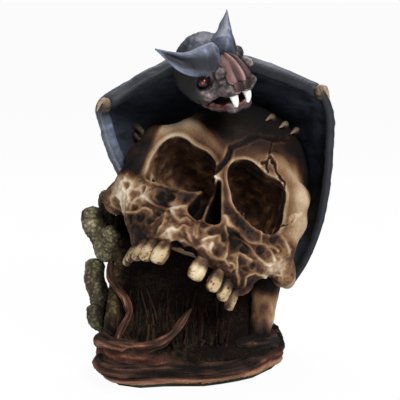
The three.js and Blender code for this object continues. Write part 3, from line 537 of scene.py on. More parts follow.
BONE = painted("antique_bone", [
    (0.0, (0.72, 0.61, 0.49)), (0.22, (0.48, 0.363, 0.245)), (0.45, (0.22, 0.12, 0.058)),
    (0.7, (0.063, 0.027, 0.014)), (1.0, (0.004, 0.0025, 0.002))],
    patch_share=0.16, specular=0.2)
TOOTH = painted("tooth_enamel", [
    (0.0, (0.74, 0.63, 0.44)), (0.35, (0.5, 0.37, 0.2)), (0.7, (0.13, 0.065, 0.03)),
    (1.0, (0.015, 0.008, 0.005))],
    gloss=(0.35, 0.6), bump=0.12, patch=180.0)
HIDE = painted("bat_hide", [
    (0.0, (0.29, 0.35, 0.49)), (0.3, (0.086, 0.1, 0.142)), (0.6, (0.023, 0.0255, 0.034)),
    (1.0, (0.003, 0.0035, 0.005))],
    gloss=(0.42, 0.6), patch=45.0, grain=700.0, bump=0.3)
FACE = painted("bat_face", [
    (0.0, (0.36, 0.28, 0.27)), (0.3, (0.125, 0.092, 0.093)), (0.6, (0.036, 0.028, 0.031)),
    (1.0, (0.006, 0.005, 0.006))],
    other=[(0.0, (0.3, 0.06, 0.05)), (0.4, (0.14, 0.02, 0.02)), (1.0, (0.02, 0.004, 0.004))],
    gloss=(0.4, 0.6))
LEAF = painted("nose_leaf", [
    (0.0, (0.4, 0.25, 0.22)), (0.35, (0.17, 0.09, 0.083)), (0.7, (0.05, 0.023, 0.021)),
    (1.0, (0.01, 0.005, 0.005))],
    gloss=(0.4, 0.6), patch=120.0)
EYE = painted("red_eye", [
    (0.0, (0.62, 0.09, 0.08)), (0.4, (0.4, 0.02, 0.02)), (1.0, (0.006, 0.003, 0.003))],
    gloss=(0.12, 0.2), bump=0.02)
FANG = painted("fang_white", [
    (0.0, (0.88, 0.86, 0.8)), (0.6, (0.6, 0.52, 0.4)), (1.0, (0.2, 0.12, 0.08))],
    gloss=(0.25, 0.4), bump=0.05)
CLAW = painted("claw_horn", [
    (0.0, (0.5, 0.4, 0.28)), (0.4, (0.22, 0.155, 0.095)), (0.8, (0.055, 0.036, 0.024)),
    (1.0, (0.015, 0.01, 0.008))],
    gloss=(0.35, 0.6))
MOSS = painted("mossy_bark", [
    (0.0, (0.55, 0.5, 0.38)), (0.3, (0.23, 0.2, 0.115)), (0.6, (0.068, 0.056, 0.028)),
    (1.0, (0.01, 0.008, 0.005))],
    patch=110.0, grain=1100.0, patch_share=0.25, grain_share=0.3, gloss=(0.75, 0.95), bump=0.7)
WOOD = painted("driftwood", [
    (0.0, (0.42, 0.22, 0.13)), (0.3, (0.17, 0.07, 0.04)), (0.6, (0.045, 0.02, 0.013)),
    (1.0, (0.003, 0.002, 0.0015))],
    patch=70.0, grain=900.0, patch_share=0.22, grain_share=0.18, gloss=(0.55, 0.85), bump=0.5, specular=0.2)
EARTH = painted("earth_and_moss", [
    (0.0, (0.36, 0.3, 0.16)), (0.3, (0.13, 0.1, 0.042)), (0.6, (0.044, 0.028, 0.015)),
    (1.0, (0.0045, 0.002, 0.0012))],
    other=[(0.0, (0.42, 0.22, 0.13)), (0.3, (0.2, 0.072, 0.042)), (0.6, (0.06, 0.022, 0.015)),
           (1.0, (0.0025, 0.0015, 0.001))],
    patch=90.0, grain=1000.0, patch_share=0.2, grain_share=0.25, gloss=(0.7, 0.95), bump=0.7, specular=0.15)
FELT = painted("base_felt", [(0.0, (0.05, 0.075, 0.05)), (1.0, (0.02, 0.03, 0.02))],
               gloss=(0.95, 1.0), grain=2400.0, grain_share=0.4, bump=0.9, specular=0.1)


# Skull, in its own frame: x to its left, y to its back, z up

# Balls: middle and half axes, with those off the middle mirrored on the other side
SKULL_FLOOR = ((0, 38, -14), (33, 34, 30))
TEMPLE = ((24, 21, 1), (21, 22, 19))
FOREHEAD = ((0, 20, 16), (27, 24, 17))
UPPER_JAW = ((0, 16, -32), (27, 22, 21))
CHEEK = ((24, 12, -38), (17, 14, 14))
PALATE = ((0, ARCH_BACK + 2, GUM_LEVEL - 8), (20, 26, 13))
ARCH_HOLE = ((47, 39, -28), (6, 13, 17))
EMPTY_SOCKET_HALF = (3.8, 4.5, 8)
EMPTY_SOCKET_DROP = 6.0

# Bars of the face on one side: two ends and their radii
FACE_BARS = [
    ((45, 12, -22), (27, 1, -27), 7, 6),
    ((27, 1, -27), (11, -1, -20), 6, 4),
    ((45, 14, -24), (52, 24, -31), 9.5, 8.4),
    ((43, 14, -29), (30, 8, -43), 9, 8),
    ((0, 0, 6), (0, -5, -6), 5.5, 4.5),
    ((7, -1, -8), (13.5, -4, -28), 4.5, 5),
    ((13.5, -4, -28), (8, -7, -39), 5, 5),
]

# Brow and outer rim of the eye socket on one side: places along it and their radii
BROW = ((3, 1, 9, 6), (25, 0, 15, 6.2), (42.5, 9, 6, 6.4), (46, 11, -7, 6.9), (45, 12, -20, 7.4))

# Cheek arch on one side: places along it
CHEEK_ARCH = ((51, 22, -31), (55, 40, -29), (34, 66, -18))
CHEEK_ARCH_RADII = (6, 4.8)

# Nasal opening: levels and radii of its narrow top and round foot, its depth, and the septum's place,
# slant and half thickness
NOSE_CROWN = -10.0
NOSE_FOOT = -30.0
NOSE_RADII = (1.6, 4.6)
NOSE_FOOT_OUT = 5.2
NOSE_DEPTH = 15.0
SEPTUM_AT = 0.9
SEPTUM_SLANT = 0.042
SEPTUM_HALF = 0.7

# Height over which the lower face moves to the left
FACE_DROP = 34.0

# Eye sockets in front view: middle (outward, up), then the mean radius and the cosine and sine parts
# of the series that the radius follows
SOCKET_LEFT = ((23, -7), (17.12, 1.22, 0.99, 1.16, -3.46, -0.32, 0.7, -1.48, -0.56))
SOCKET_RIGHT = ((21, -8), (17.58, 0.29, 0.62, 2.34, 0.09, -0.5, -0.23, -0.83, -0.39))
SOCKET_FRONT = 4.0
SOCKET_DEPTH = 34.0
SOCKET_INWARD = 9.0

# Light ridges on the face, as broken lines on its surface
RIDGES = [
    ((-34, 1, -31), (-30.5, -1.5, -32), (-26, -3, -34), (-21, -2.5, -34), (-17, -2.5, -34),
     (-14, -7, -34.5), (-10.5, -10.5, -33), (-7.5, -10.5, -31), (-6, -8.5, -29)),
    ((-37, 3.5, -41.5), (-31.5, 0, -41), (-28.5, -1, -38), (-24.5, -2, -38.5), (-22, -3, -40.5)),
    ((-16.5, -3, -34.5), (-15, -4, -37.5), (-13.5, -10, -44), (-14, -11.5, -49), (-15, -10, -53),
     (-16.5, -7.5, -55)),
    ((-14.5, -9.5, -53.5), (-12, -11.5, -52.5), (-10, -13, -50.5), (-9, -13.5, -48), (-8, -14, -51.5),
     (-10, -12, -54)),
    ((-25.5, 10.5, -58), (-23.5, 4, -57.5), (-21.5, -1.5, -56), (-21, -4.5, -53.5), (-18.5, -4.5, -56.5),
     (-15, -9, -54.5), (-10.5, -11.5, -54.5), (-7.5, -13.5, -52.5), (-5, -13.5, -54.5),
     (-2.5, -14.5, -54), (-1, -15, -52), (1, -16, -51), (4.5, -15.5, -51.5), (7, -15, -53.5),
     (9.5, -14.5, -52.5), (12, -14.5, -48.5), (14.5, -14, -49.5), (16.5, -12.5, -51.5),
     (18.5, -11.5, -53), (21.5, -10, -51.5), (24.5, -8, -48.5), (28, -4.5, -51)),
    ((-9, -13.5, -48.5), (-7.5, -14, -46.5), (-4.5, -14.5, -45.5), (-2.5, -13.5, -42), (0, -13.5, -42.5),
     (2.5, -15.5, -46.5), (5.5, -16, -50)),
    ((-14, -7, -34.5), (-10, -10.5, -38.5), (-5.5, -13, -40.5), (-3.5, -12, -37.5), (-1.5, -11.5, -38)),
    ((-0.5, -7.5, -35.5), (2.5, -10, -39.5), (5, -15.5, -45.5)),
    ((2.5, -6, -34), (5, -12, -40.5), (6.5, -15.5, -46)),
    ((12, -10.5, -32.5), (10.5, -11.5, -36), (9.5, -13, -39.5), (7.5, -12.5, -40.5)),
    ((15, -10, -27), (17, -10, -29.5), (21, -7.5, -29.5), (25, -5, -29.5), (29.5, -5, -31.5),
     (33.5, -3, -31), (38, 0, -29), (40.5, 1.5, -28.5), (43.5, 3, -30.5), (46.5, 4, -32),
     (48.5, 5.5, -32.5)),
    ((24, -2.5, -33.5), (26, -3.5, -32.5), (30, -3.5, -33), (33, -1.5, -34.5), (36.5, -0.5, -37),
     (39.5, 1, -38), (43.5, 3.5, -37.5), (47.5, 6.5, -36.5)),
    ((17, -9.5, -31.5), (19, -6.5, -35), (20.5, -6, -40), (23.5, -8, -45), (24, -8.5, -48.5),
     (23, -9.5, -50)),
    ((10, -14.5, -45), (12, -13.5, -43.5), (14, -12, -41), (16, -10, -38.5), (18, -10, -42),
     (20, -8.5, -42.5), (20.5, -4.5, -38.5)),
    ((16, -12.5, -45.5), (16, -13.5, -49), (18.5, -12, -51.5), (21.5, -10, -51), (24, -8.5, -49)),
    ((26.5, -6, -52), (27.5, -5, -49), (29.5, -3.5, -48), (31, -2, -49.5), (30, -2, -52),
     (28.5, -2.5, -54)),
    ((26.5, -5, -44), (28.5, -3.5, -43.5), (31, -2.5, -47), (33, 0.5, -50.5), (35, 6, -53.5),
     (35.5, 11, -55.5)),
    ((26.5, -5, -44), (28.5, -3, -41.5), (31.5, -2, -41), (35.5, -1, -40.5)),
    ((37, 15.5, -55), (38, 11.5, -52), (37.5, 4, -49.5), (38.5, 3, -47), (41.5, 4, -44.5), (45, 8.5, -43),
     (48, 21, -39)),
    ((43, 4, -17.5), (47, 3.5, -20), (51, 4.5, -22.5), (54, 7, -24.5)),
    ((35, -3, -25), (36.5, -2, -27), (38, 0, -29)),
    ((40.5, 1.5, -28.5), (44.5, 2.5, -27.5), (48, 3.5, -28)),
]

# Hollows on the face: place and radius, with a rim round those past a certain radius
RIMMED_PIT = 2.6
PITS = [
    (-45, 4, -28.5, 3.1), (-35, 0, -27.5, 3.1), (-38.5, 3, -32, 2.8), (-47.5, 14.5, -37.5, 3.9),
    (-34, 0.5, -37.5, 2.7), (-33.5, 2, -44.5, 3.4), (-29, -1, -44, 3.6), (-40, 12, -43, 3.4),
    (-21.5, -4.5, -44.5, 3.4), (-19.5, -3.5, -40.5, 3), (-8.5, -8, -26, 2.2), (-23.5, -6, -29, 3.4),
    (-17.5, -7.5, -28.5, 3.4), (-1, -15.5, -48.5, 1.7), (-4, -15, -51.5, 1.1), (2, -15.5, -46.5, 1.0),
    (17.5, -8, -38, 1.9), (19.5, -11.5, -47.5, 2.5), (11.5, -13, -41, 2.2), (29, -4, -50.5, 1.5),
    (42, 1.5, -23.5, 3.1), (38.5, 1.5, -33, 2.8), (48.5, 4, -28.5, 3.1), (50, 13, -38, 0.9),
    (54, 14, -37, 1.0), (53.5, 17, -39.5, 1.1), (29.5, -2, -36.5, 3.0), (31.5, -2.5, -44.5, 3.0),
    (38, 0.5, -43, 2.8), (35.5, 0.5, -47, 2.8),
]

# Paler zones of the face: place and radius
PALE = [(-44, 6, -31, 13), (-34, 0, -28, 8), (-13, -7, -35, 6), (-7.5, -13, -49.5, 6.5), (50, 12, -36, 9),
        (13, -13, -44, 5)]

# Darker zones of the face: place, radius and strength
SHADE = [(-32, 3, -43, 8, 0.3), (44, 10, -52, 9, 0.35), (30, 2, -56, 9, 0.25), (-24, 2, -52, 7, 0.2),
         (21, -8, -40, 6, 0.15), (2, -6, 2, 10, 0.1), (9, -3, -14, 7, 0.2), (13, -12, -40, 5, 0.15)]

# Lower edge of the painted shadow of the hood in front view: x and height, in the part's frame
SHADOW_EDGE = ((-30, -18.5, -8.4, 2.9, 8.5, 15.2, 20.9, 28.2, 36.6, 45, 53.5, 62, 66.4, 69),
               (132, 141, 146, 145, 142, 134, 126, 122, 122, 123, 120.5, 114, 105, 96))

# Lighter zones in the part's frame: place, reach and lift
GLOW = [(62, -8, 100, 17, 0.08), (-11, -9, 133.5, 9, 0.16), (-35, -21.5, 96.5, 11, 0.24),
        (-22, -31, 100, 6, 0.1), (58, -38, 57, 9, 0.14)]

# Darker zones in the part's frame: place, reach and strength
DUSK = [(46.5, -27.5, 117.5, 8, 0.15), (23, -27, 119, 6, 0.17), (11, -18, 130.5, 8, 0.12)]

# Cracks: broken line, half-width and depth
CRACKS = [
    (((-2.5, -8, -9), (-1.5, -9, -5.5), (0, -7, 2), (1, -6.5, 6.5), (0, -4, 13.5), (4.5, -2, 17.5),
      (6.5, -1, 23), (10.5, 1, 27.5), (16.5, 4.5, 30.5), (21, 10.5, 36.5), (22.5, 14.5, 40)), 1.15, 2.4),
    (((16.5, 4, 29.5), (18, 3.5, 25), (21, -6, 17.5), (21.5, -6.5, 13), (18.5, -5.5, 11)), 0.6, 1.3),
    (((21.5, -6.5, 13), (22.5, -5.5, 10.5), (24, -3.5, 8.5)), 0.5, 1.1),
    (((21, -6, 17.5), (25.5, -7, 12.5), (29.5, -4, 9.5), (33.5, -1.5, 8), (35, 0.5, 5.5)), 0.55, 1.2),
    (((43, 5, -14), (45.5, 5, -12), (46, 5, -9.5), (46.5, 5, -6), (48, 6, -4.5), (48, 6, -3),
      (49.5, 8, -4.5), (50, 9, -7), (52, 14, -8)), 0.45, 0.9),
]


def midline(z):
    """Middle of the face: below the top of the nose it moves evenly to the left, up to the jaw's shift."""
    return JAW_SHIFT * np.clip((NOSE_TOP - z) / FACE_DROP, 0, 1)


def on_face(p):
    """The place with x measured from the face's own middle."""
    q = np.array(p)
    q[..., 0] -= midline(p[..., 2])
    return q


def tucked(p):
    """The place with x stretched on the left cheek, so that what is drawn evenly lies nearer the middle
    there."""
    q = np.array(p)
    q[..., 0] *= 1 + CHEEK_TUCK * ramp(p[..., 0], 30, 60)
    return q


def arch_point(turn, z):
    """Place on the tooth arch, an ellipse, at an angle from the middle in degrees."""
    a = math.radians(turn)
    return np.float32((midline(z) + ARCH_HALF_WIDTH * math.sin(a), ARCH_BACK - ARCH_DEPTH * math.cos(a), z))


def series(turn, parts):
    """Radius at a turn: the mean plus cosine and sine parts of one to four waves."""
    total = parts[0]
    for k in range(1, 5):
        total = total + parts[2 * k - 1] * np.cos(k * turn) + parts[2 * k] * np.sin(k * turn)
    return total


def socket(p):
    """Eye sockets: in front view the radius follows a series round the middle; with depth the wall moves
    towards the nose and closes like a ball."""
    left = p[..., 0] > 0
    back = np.clip((p[..., 1] - SOCKET_FRONT) / SOCKET_DEPTH, 0, 1)
    u = np.abs(p[..., 0]) - np.where(left, SOCKET_LEFT[0][0], SOCKET_RIGHT[0][0]) + SOCKET_INWARD * back
    w = p[..., 2] - np.where(left, SOCKET_LEFT[0][1], SOCKET_RIGHT[0][1])
    turn = np.arctan2(w, u)
    reach = np.where(left, series(turn, SOCKET_LEFT[1]), series(turn, SOCKET_RIGHT[1]))
    return np.hypot(u, w) - reach * np.sqrt(1 - back * back)


def nostril(p):
    """Nasal opening in front view: a teardrop on each side of the septum, narrow at the top and round at
    the foot."""
    flat = np.array(p)
    fall = np.maximum(0, NOSE_CROWN - p[..., 2])
    flat[..., 0] = np.abs(p[..., 0] - midline(p[..., 2]) - SEPTUM_AT - SEPTUM_SLANT * fall)
    flat[..., 1] = 0
    lobe = bar(flat, (NOSE_RADII[0], 0, NOSE_CROWN), (NOSE_FOOT_OUT, 0, NOSE_FOOT), *NOSE_RADII)
    return np.maximum(lobe, SEPTUM_HALF - flat[..., 0])


def gum(q):
    """Ridge along the tooth arch: the distance to its ellipse, with heights shortened a little, minus a
    radius."""
    away = (np.hypot(q[..., 0] / ARCH_HALF_WIDTH, (q[..., 1] - ARCH_BACK) / ARCH_DEPTH) - 1) * ARCH_HALF_WIDTH
    behind = np.maximum(0, q[..., 1] - ARCH_BACK)
    return np.sqrt(away ** 2 + behind ** 2 + (0.85 * (q[..., 2] - GUM_LEVEL)) ** 2) - GUM_RADIUS


def whole_bone(p):
    """Skull before its openings: braincase, brows, face bars, upper jaw, gum ridge and arches joined with
    fillets."""
    q = on_face(p)
    s = folded(q)
    d = ball(p, CRANIUM_MIDDLE, CRANIUM_HALF)
    d = join(d, ball(s, *SKULL_FLOOR), 8)
    d = join(d, ball(s, *TEMPLE), 8)
    d = join(d, ball(p, *FOREHEAD), 8)
    for a, b in zip(BROW, BROW[1:]):
        d = join(d, bar(s, a[:3], b[:3], a[3], b[3]), 5)
    s = folded(tucked(q))
    face = join(ball(s, *UPPER_JAW), ball(s, *CHEEK), 7)
    for a, b, ra, rb in FACE_BARS:
        face = join(face, bar(s, a, b, ra, rb), 5)
    face = join(face, gum(q), 5)
    d = join(d, face, 5)
    return join(d, chain(s, CHEEK_ARCH, *CHEEK_ARCH_RADII, 5), 4)


def bone(p):
    """Skull: the whole bone with sockets, nose, palate, the holes inside the cheek arches and two empty
    tooth sockets taken out."""
    q = on_face(p)
    d = carve(whole_bone(p), socket(p), 1.5)
    d = carve(d, np.maximum(nostril(p), p[..., 1] - NOSE_DEPTH), 1.0)
    d = carve(d, ball(q, *PALATE), 3)
    d = carve(d, ball(folded(tucked(q)), *ARCH_HOLE), 3)
    for turn in EMPTY_SOCKETS:
        d = carve(d, ball(p, arch_point(turn, GUM_LEVEL - EMPTY_SOCKET_DROP), EMPTY_SOCKET_HALF), 1.5)
    return d


def bone_relief(v, n, buried):
    """Height and wash of the skull's surface: brown hollows between light ridges on the face, light rims
    round the sockets and nose, and jagged dark cracks on the brow."""
    height = 0.12 * rough(v, 5, 21)
    dark = 0.05 * rough(v, 9, 31)
    front = v[:, 1] < 34
    p = v[front]
    m = n[front]
    q = on_face(p)
    x, y, z = q.T
    wall = socket(p)
    lobe = nostril(p)
    outside = ramp(wall, -0.5, 1.0) * ramp(lobe, -0.5, 0.8)
    rim = 0.75 * np.exp(-((wall - 0.3) / 0.55) ** 2) * ramp(-y, -26, -14) * (1 - ramp(buried[front], 0, 0.9))
    nose_rim = np.exp(-((lobe - 0.8) / 0.75) ** 2) * ramp(-y, -4, 0)
    lower = ramp(-z, 16, 22) * ramp(-y, -30, -20) * outside
    ridge = np.zeros(len(p), np.float32)
    even = tucked(p)
    wavy = shaken(even, 4.5, 1.1, 41)
    uneven = shaken(even, 6, 2.2, 43)
    for line in RIDGES:
        ridge = np.maximum(ridge, np.exp(-(near_path(wavy, m, line) / 1.1) ** 2))
    pale = np.zeros(len(p), np.float32)
    for *spot, reach in PALE:
        pale = np.maximum(pale, fading(even, spot, reach, 4))
    pit = np.zeros(len(p), np.float32)
    pit_depth = np.zeros(len(p), np.float32)
    for *spot, radius in PITS:
        away = np.linalg.norm(uneven - np.array(spot), axis=1) / radius
        share = np.exp(-away ** 4)
        pit = np.maximum(pit, share)
        if radius > RIMMED_PIT:
            ridge = np.maximum(ridge, 0.4 * np.exp(-((away - 1.2) / 0.28) ** 2))
        pit_depth = np.maximum(pit_depth, share * (0.4 + 0.16 * radius))
    first, second = cells(shaken(p, 5, 1.2, 51), 4.4, 9)
    web = np.exp(-((second - first) / 0.22) ** 2)
    grit = rough(p, 1.8, 61, 2)
    light = np.maximum.reduce([ridge * lower, rim, 0.75 * nose_rim])
    face_height = 0.9 * light - lower * (1 - light) * (0.35 + pit_depth)
    face_height = face_height + lower * (0.35 * web - 0.15 + 0.16 * grit)
    face_dark = lower * (0.38 - 0.36 * pale) + 0.22 * lower * pit * (1 - ridge) - 0.42 * light
    face_dark += lower * (1 - light) * (0.1 * (0.4 - web) + 0.12 * grit)
    face_dark += 0.22 * np.exp(-(np.maximum(0, wall - 2) / 4.5) ** 2) * ramp(wall, 1.2, 2.4)
    # Painted shadow of the hood and wing on the skull's right temple
    face_dark += 0.6 * ramp(-x, 40.5, 44.5) * ramp(z, -25, -17)
    for *spot, reach, strength in SHADE:
        face_dark += strength * fading(even, spot, reach) * (1 - 0.7 * light)
    cracked = shaken(p, 2.6, 0.9, 71)
    for line, wide, deep in CRACKS:
        away = near_path(cracked, m, line) / wide
        gap = np.exp(-away ** 4) * ramp(wall, -1.5, 0.5)
        face_height -= deep * gap
        face_dark += 1.2 * gap - 0.16 * np.exp(-((away - 2.1) / 0.6) ** 2)
    height[front] += face_height
    dark[front] += face_dark
    return height, dark


def painted_hood_shadow(p):
    """Dark paint on the brow under the hood, above an edge drawn in front view, in the part's frame, with a
    Painted shadow of the hood on the brow, above an edge drawn in front view, in the part's frame,
    with a second band that darkens it further up."""
    above = p @ VIEW_UP - np.interp(p[:, 0], *SHADOW_EDGE)
    return 0.7 * ramp(above, -10, 6) + 0.3 * ramp(above, 4, 14)


def make_skull():
    """The skull with its relief, darker where the space in front of it is closed and inside its openings,
    as antiquing with painted shade, and with a painted shadow of the hood on the brow."""
    axes = (spaced((-60, 62, 0.68)), spaced((-20, 22, 0.64), (22, 99, 1.7)),
            spaced((-64, 14, 0.66), (14, 66, 1.3)))
    verts, faces = skin(bone, axes)
    _, normals = lean(bone, verts)
    buried = -whole_bone(verts)
    height, dark = bone_relief(verts, normals, buried)
    free = openness(bone, verts, normals, (2.0, 5.0, 10.0, 18.0))
    deep = ramp(buried, 0, 2.2) * ramp(1.4 - socket(verts), 0, 1)
    nose = ramp(buried, 0.3, 3) * ramp(0.9 - nostril(verts), 0, 0.8)
    lumps = rough(verts, 4, 81)
    height += 0.5 * deep * lumps
    # Antiquing with painted shade: darker where the space in front is closed and inside the sockets and nose
    wash_and_shade = 0.39 + 0.75 * (0.88 - free) * (1 - 0.5 * deep) + dark + 0.8 * nose
    wash_and_shade += deep * (0.54 - 0.22 * ramp(verts[:, 1], 6, 22) - 0.22 * lumps)
    spots = from_skull(verts + normals * height[:, None])
    # Painted shadow of the hood on the brow
    wash_and_shade += painted_hood_shadow(spots)
    for zones, way in ((GLOW, -1), (DUSK, 1)):
        for *place, reach, share in zones:
            wash_and_shade += way * share * fading(spots, place, reach)
    piece("skull", spots, faces, BONE, ["skull"], {"wash_and_shade": wash_and_shade})


# How far a tooth's tip lies further out than its root, its share of the solid's thickness, and the shares
# of its width in front, up to an angle, and at the sides
TOOTH_LEAN = 1.5
TOOTH_THIN = 0.8
FRONT_ANGLE = 30.0
FRONT_WIDE = 1.1
SIDE_WIDE = 0.92


def make_tooth(name, turn):
    """Tooth: rings of a rounded square along a path from the root, narrow at the neck and rounded at the
    edge."""
    wide = FRONT_WIDE if abs(turn) < FRONT_ANGLE else SIDE_WIDE
    a = math.radians(turn)
    out = np.float32((math.sin(a), -math.cos(a), 0))
    root = arch_point(turn, GUM_LEVEL - GUM_RADIUS + TOOTH_ROOT)
    tip = root + TOOTH_LEAN * out - np.float32((0, 0, TOOTH_ROOT + TOOTH_CROWN))

    def radii(t):
        """Half-width and half-thickness: a narrow neck, a full crown and a rounded edge."""
        crown = ramp(t, 0.12, 0.66)
        end = np.sqrt(np.clip(1 - (np.maximum(0, t - 0.88) / 0.122) ** 2.6, 0.02, 1))
        fat = (0.6 + 0.4 * crown - 0.12 * ramp(t, 0.72, 1)) * end
        return TOOTH_HALF_WIDTH * wide * fat, TOOTH_THIN * TOOTH_HALF_THICKNESS * fat

    across = (math.cos(a), math.sin(a), 0)
    rings, _, t, around = swept([root, (root + tip) / 2 + 0.2 * out, tip], radii, 40, 32, across, 3.0)
    seed = int(abs(turn)) + 3
    wear = 0.16 * noise(rings, (1.6, 1.6, 6), seed) + 0.1 * noise(rings, 0.9, seed + 2)
    rings = rings + wear[..., None] * out
    wash_and_shade = 0.5 * ramp(0.6 - t, -0.14, 0.14) + 0.25 + 0.16 * ramp(abs(turn), FRONT_ANGLE, 60)
    wash_and_shade = wash_and_shade + 0.22 * noise(rings, (2, 2, 4), seed + 5)
    wash_and_shade = wash_and_shade + 0.3 * np.clip(-np.sin(around), 0, 1) * ramp(t, 0.5, 0.9)
    wash_and_shade = wash_and_shade + 0.35 * (noise(rings, 0.8, seed + 9) > 0.55)
    wash_and_shade = wash_and_shade + 0.4 * np.abs(np.cos(around)) ** 4
    verts, faces = tube(rings)
    piece(name, from_skull(verts), faces, TOOTH, [name], capped(wash_and_shade, 0.5, 0.15))


# Bat body and wings

# Wings: side, outward bulge, painted rim light on the leading edge, tone of the inside, and the places
# along the arm, along the leading edge below it and at the lower tip
WINGS = {
    "left": {
        "side": 1, "bulge": 4.0, "painted_edge_light": 0.0, "inside": 0.46,
        "arm": [(29, 3, 173), (54, -2, 164.5), (74.5, -8, 156)],
        "edge": [(80.1, -6, 145), (80.6, -2, 123), (79.6, 2, 103), (76, 8, 79), (68.5, 14, 57),
                 (60.5, 18, 43)],
        "tip": [(26, 66, 42)],
    },
    "right": {
        "side": -1, "bulge": 21.0, "painted_edge_light": 0.5, "inside": 0.4,
        "arm": [(-2, 2, 172), (-25, -6, 161.5), (-43, -14, 149.5)],
        "edge": [(-41.5, -10, 137.5), (-38, -4, 123.5), (-32, 4, 109), (-26, 14, 95)],
        "tip": [(24, 67, 46)],
    },
}

# Places along the seam where the wings meet behind and along the tail over it
SEAM = [(14, 14, 178), (17, 50, 160), (22, 72, 126), (25, 76, 92)]
TAIL = [(15, 44, 170), (18, 60, 156), (23, 76, 124), (25.5, 80, 92), (25, 72, 60)]

# Middle of the hood, the body's place, turn and half axes, the neck as a bar, and how far back a wing swells
HOOD_MIDDLE = from_skull(CRANIUM_MIDDLE)
BODY_AT = np.float32((11, 22, 167))
BODY_TURN = turned(-20, 0, 0)
BODY_HALF = (18, 34, 19)
NECK = ((11, 4, 170), (13, -8, 166), 15, 13)
SWELL_BACK = 36.0

# Toe claws: where the left ones grip the forehead (x and height in the skull's frame), and where the
# right ones grow from the wing (shares along it and across it)
LEFT_GRIPS = ((8.6, 41), (16.4, 41.9), (22.5, 44))
RIGHT_FEET = ((0.47, 0.6), (0.53, 0.58), (0.6, 0.56))


def painted_top_light(normals):
    """Share of painted highlight from above: most on faces that look up."""
    return np.clip(normals[..., 2], 0, 1) ** 2


def bat_body(p):
    """A pitched barrel with a neck that reaches to the head."""
    barrel = ball((p - BODY_AT) @ BODY_TURN, (0, 0, 0), BODY_HALF)
    return join(barrel, bar(p, *NECK), 6)


def make_body():
    """The bat's back, with faint fur that runs along it."""
    verts, faces = skin(bat_body, (spaced((-12, 34, 1.1)), spaced((-26, 62, 1.2)), spaced((138, 192, 1.1))))
    _, normals = lean(bat_body, verts)
    fur = rough(verts, (1.6, 9, 2.4), 5)
    verts = verts + normals * (0.35 * fur)[:, None]
    # Painted highlight on faces that look up
    wash_and_shade = 0.64 - 0.28 * painted_top_light(normals) - 0.14 * fur
    piece("bat_body", verts, faces, HIDE, ["bat_body"], {"wash_and_shade": wash_and_shade})


def wing_point(wing, s, t):
    """Wing surface: across it a quadratic curve from the leading edge over a swell to the seam behind,
    pushed out of the braincase."""
    lead = bend(wing["arm"] + wing["edge"], s)
    rear = bend(SEAM + wing["tip"], s) + np.float32((wing["side"] * SEAM_HALF_GAP, 0, 0))
    swell = lead + np.float32((wing["side"] * wing["bulge"], SWELL_BACK, WING_SWELL))
    t = np.float32(t)[..., None]
    p = lead * (1 - t) ** 2 + swell * 2 * t * (1 - t) + rear * t * t
    room = WING_THICKNESS / 2 + CLEARANCE + 0.5
    reach = np.linalg.norm((to_skull(p) - CRANIUM_MIDDLE) / (CRANIUM_HALF + room), axis=-1)
    push = -join(-reach, np.float32(-1), 0.05) / reach
    return (p - HOOD_MIDDLE) * push[..., None] + HOOD_MIDDLE


def make_wing(name):
    """Wing: a thick sheet with finger ridges on the outside, a rolled leading edge, fine wrinkles along it
    and painted rim light on the edge below the wrist."""
    wing = WINGS[name]
    s, t = np.meshgrid(np.linspace(0, 1, 190), np.linspace(0, 1, 130) ** 1.35, indexing="ij")
    s = s * (1 - SCALLOP_SHARE * np.abs(np.sin(np.pi * FINGER_COUNT * t)) * ramp(t, 0, 0.15))
    step = 0.004
    along = wing_point(wing, np.minimum(1, s + step), t) - wing_point(wing, np.maximum(0, s - step), t)
    across = wing_point(wing, s, np.minimum(1, t + step)) - wing_point(wing, s, np.maximum(0, t - step))
    out = direction(np.cross(along, across) * wing["side"])
    middle = wing_point(wing, s, t)
    fan = np.clip((s - 0.22) / 0.78, 0, 1)
    phase = (t * (FINGER_COUNT + 0.5) * (1.7 - 0.7 * fan)) % 1
    ridge = np.exp(-((phase - 0.5) / 0.16) ** 2) * ramp(s, 0.2, 0.4)
    rim = np.exp(-(t / 0.05) ** 2)
    wrinkle = rough(middle, (9, 9, 3.2), 15)
    half = WING_THICKNESS / 2 + 0.3 * WING_RIM * rim
    outer = half + FINGER_RIDGE * ridge + 0.3 * wrinkle * (1 - rim)
    inner = -half + 0.35 * wrinkle
    # Painted rim light on the leading edge below the wrist
    painted_edge_light = wing["painted_edge_light"] * ramp(0.12 - t, 0, 0.08) * ramp(s, 0.36, 0.5)
    # Outside: painted highlight on faces that look up
    wash_and_shade_out = 0.66 - 0.1 * ridge + 0.1 * rim - 0.1 * wrinkle - 0.2 * painted_top_light(out) - painted_edge_light
    # Inside: lighter away from the leading edge, as painted fill light in the hood's deep shade
    wash_and_shade_in = wing["inside"] + 0.3 * ramp(0.35 - t, 0, 0.3) - 0.12 * wrinkle - painted_edge_light
    verts, faces = sheet(middle + out * outer[..., None], middle + out * inner[..., None])
    marks = np.concatenate([wash_and_shade_out.ravel(), wash_and_shade_in.ravel()])
    piece(f"wing_{name}", verts, faces, HIDE, [f"wing_{name}"], {"wash_and_shade": marks})


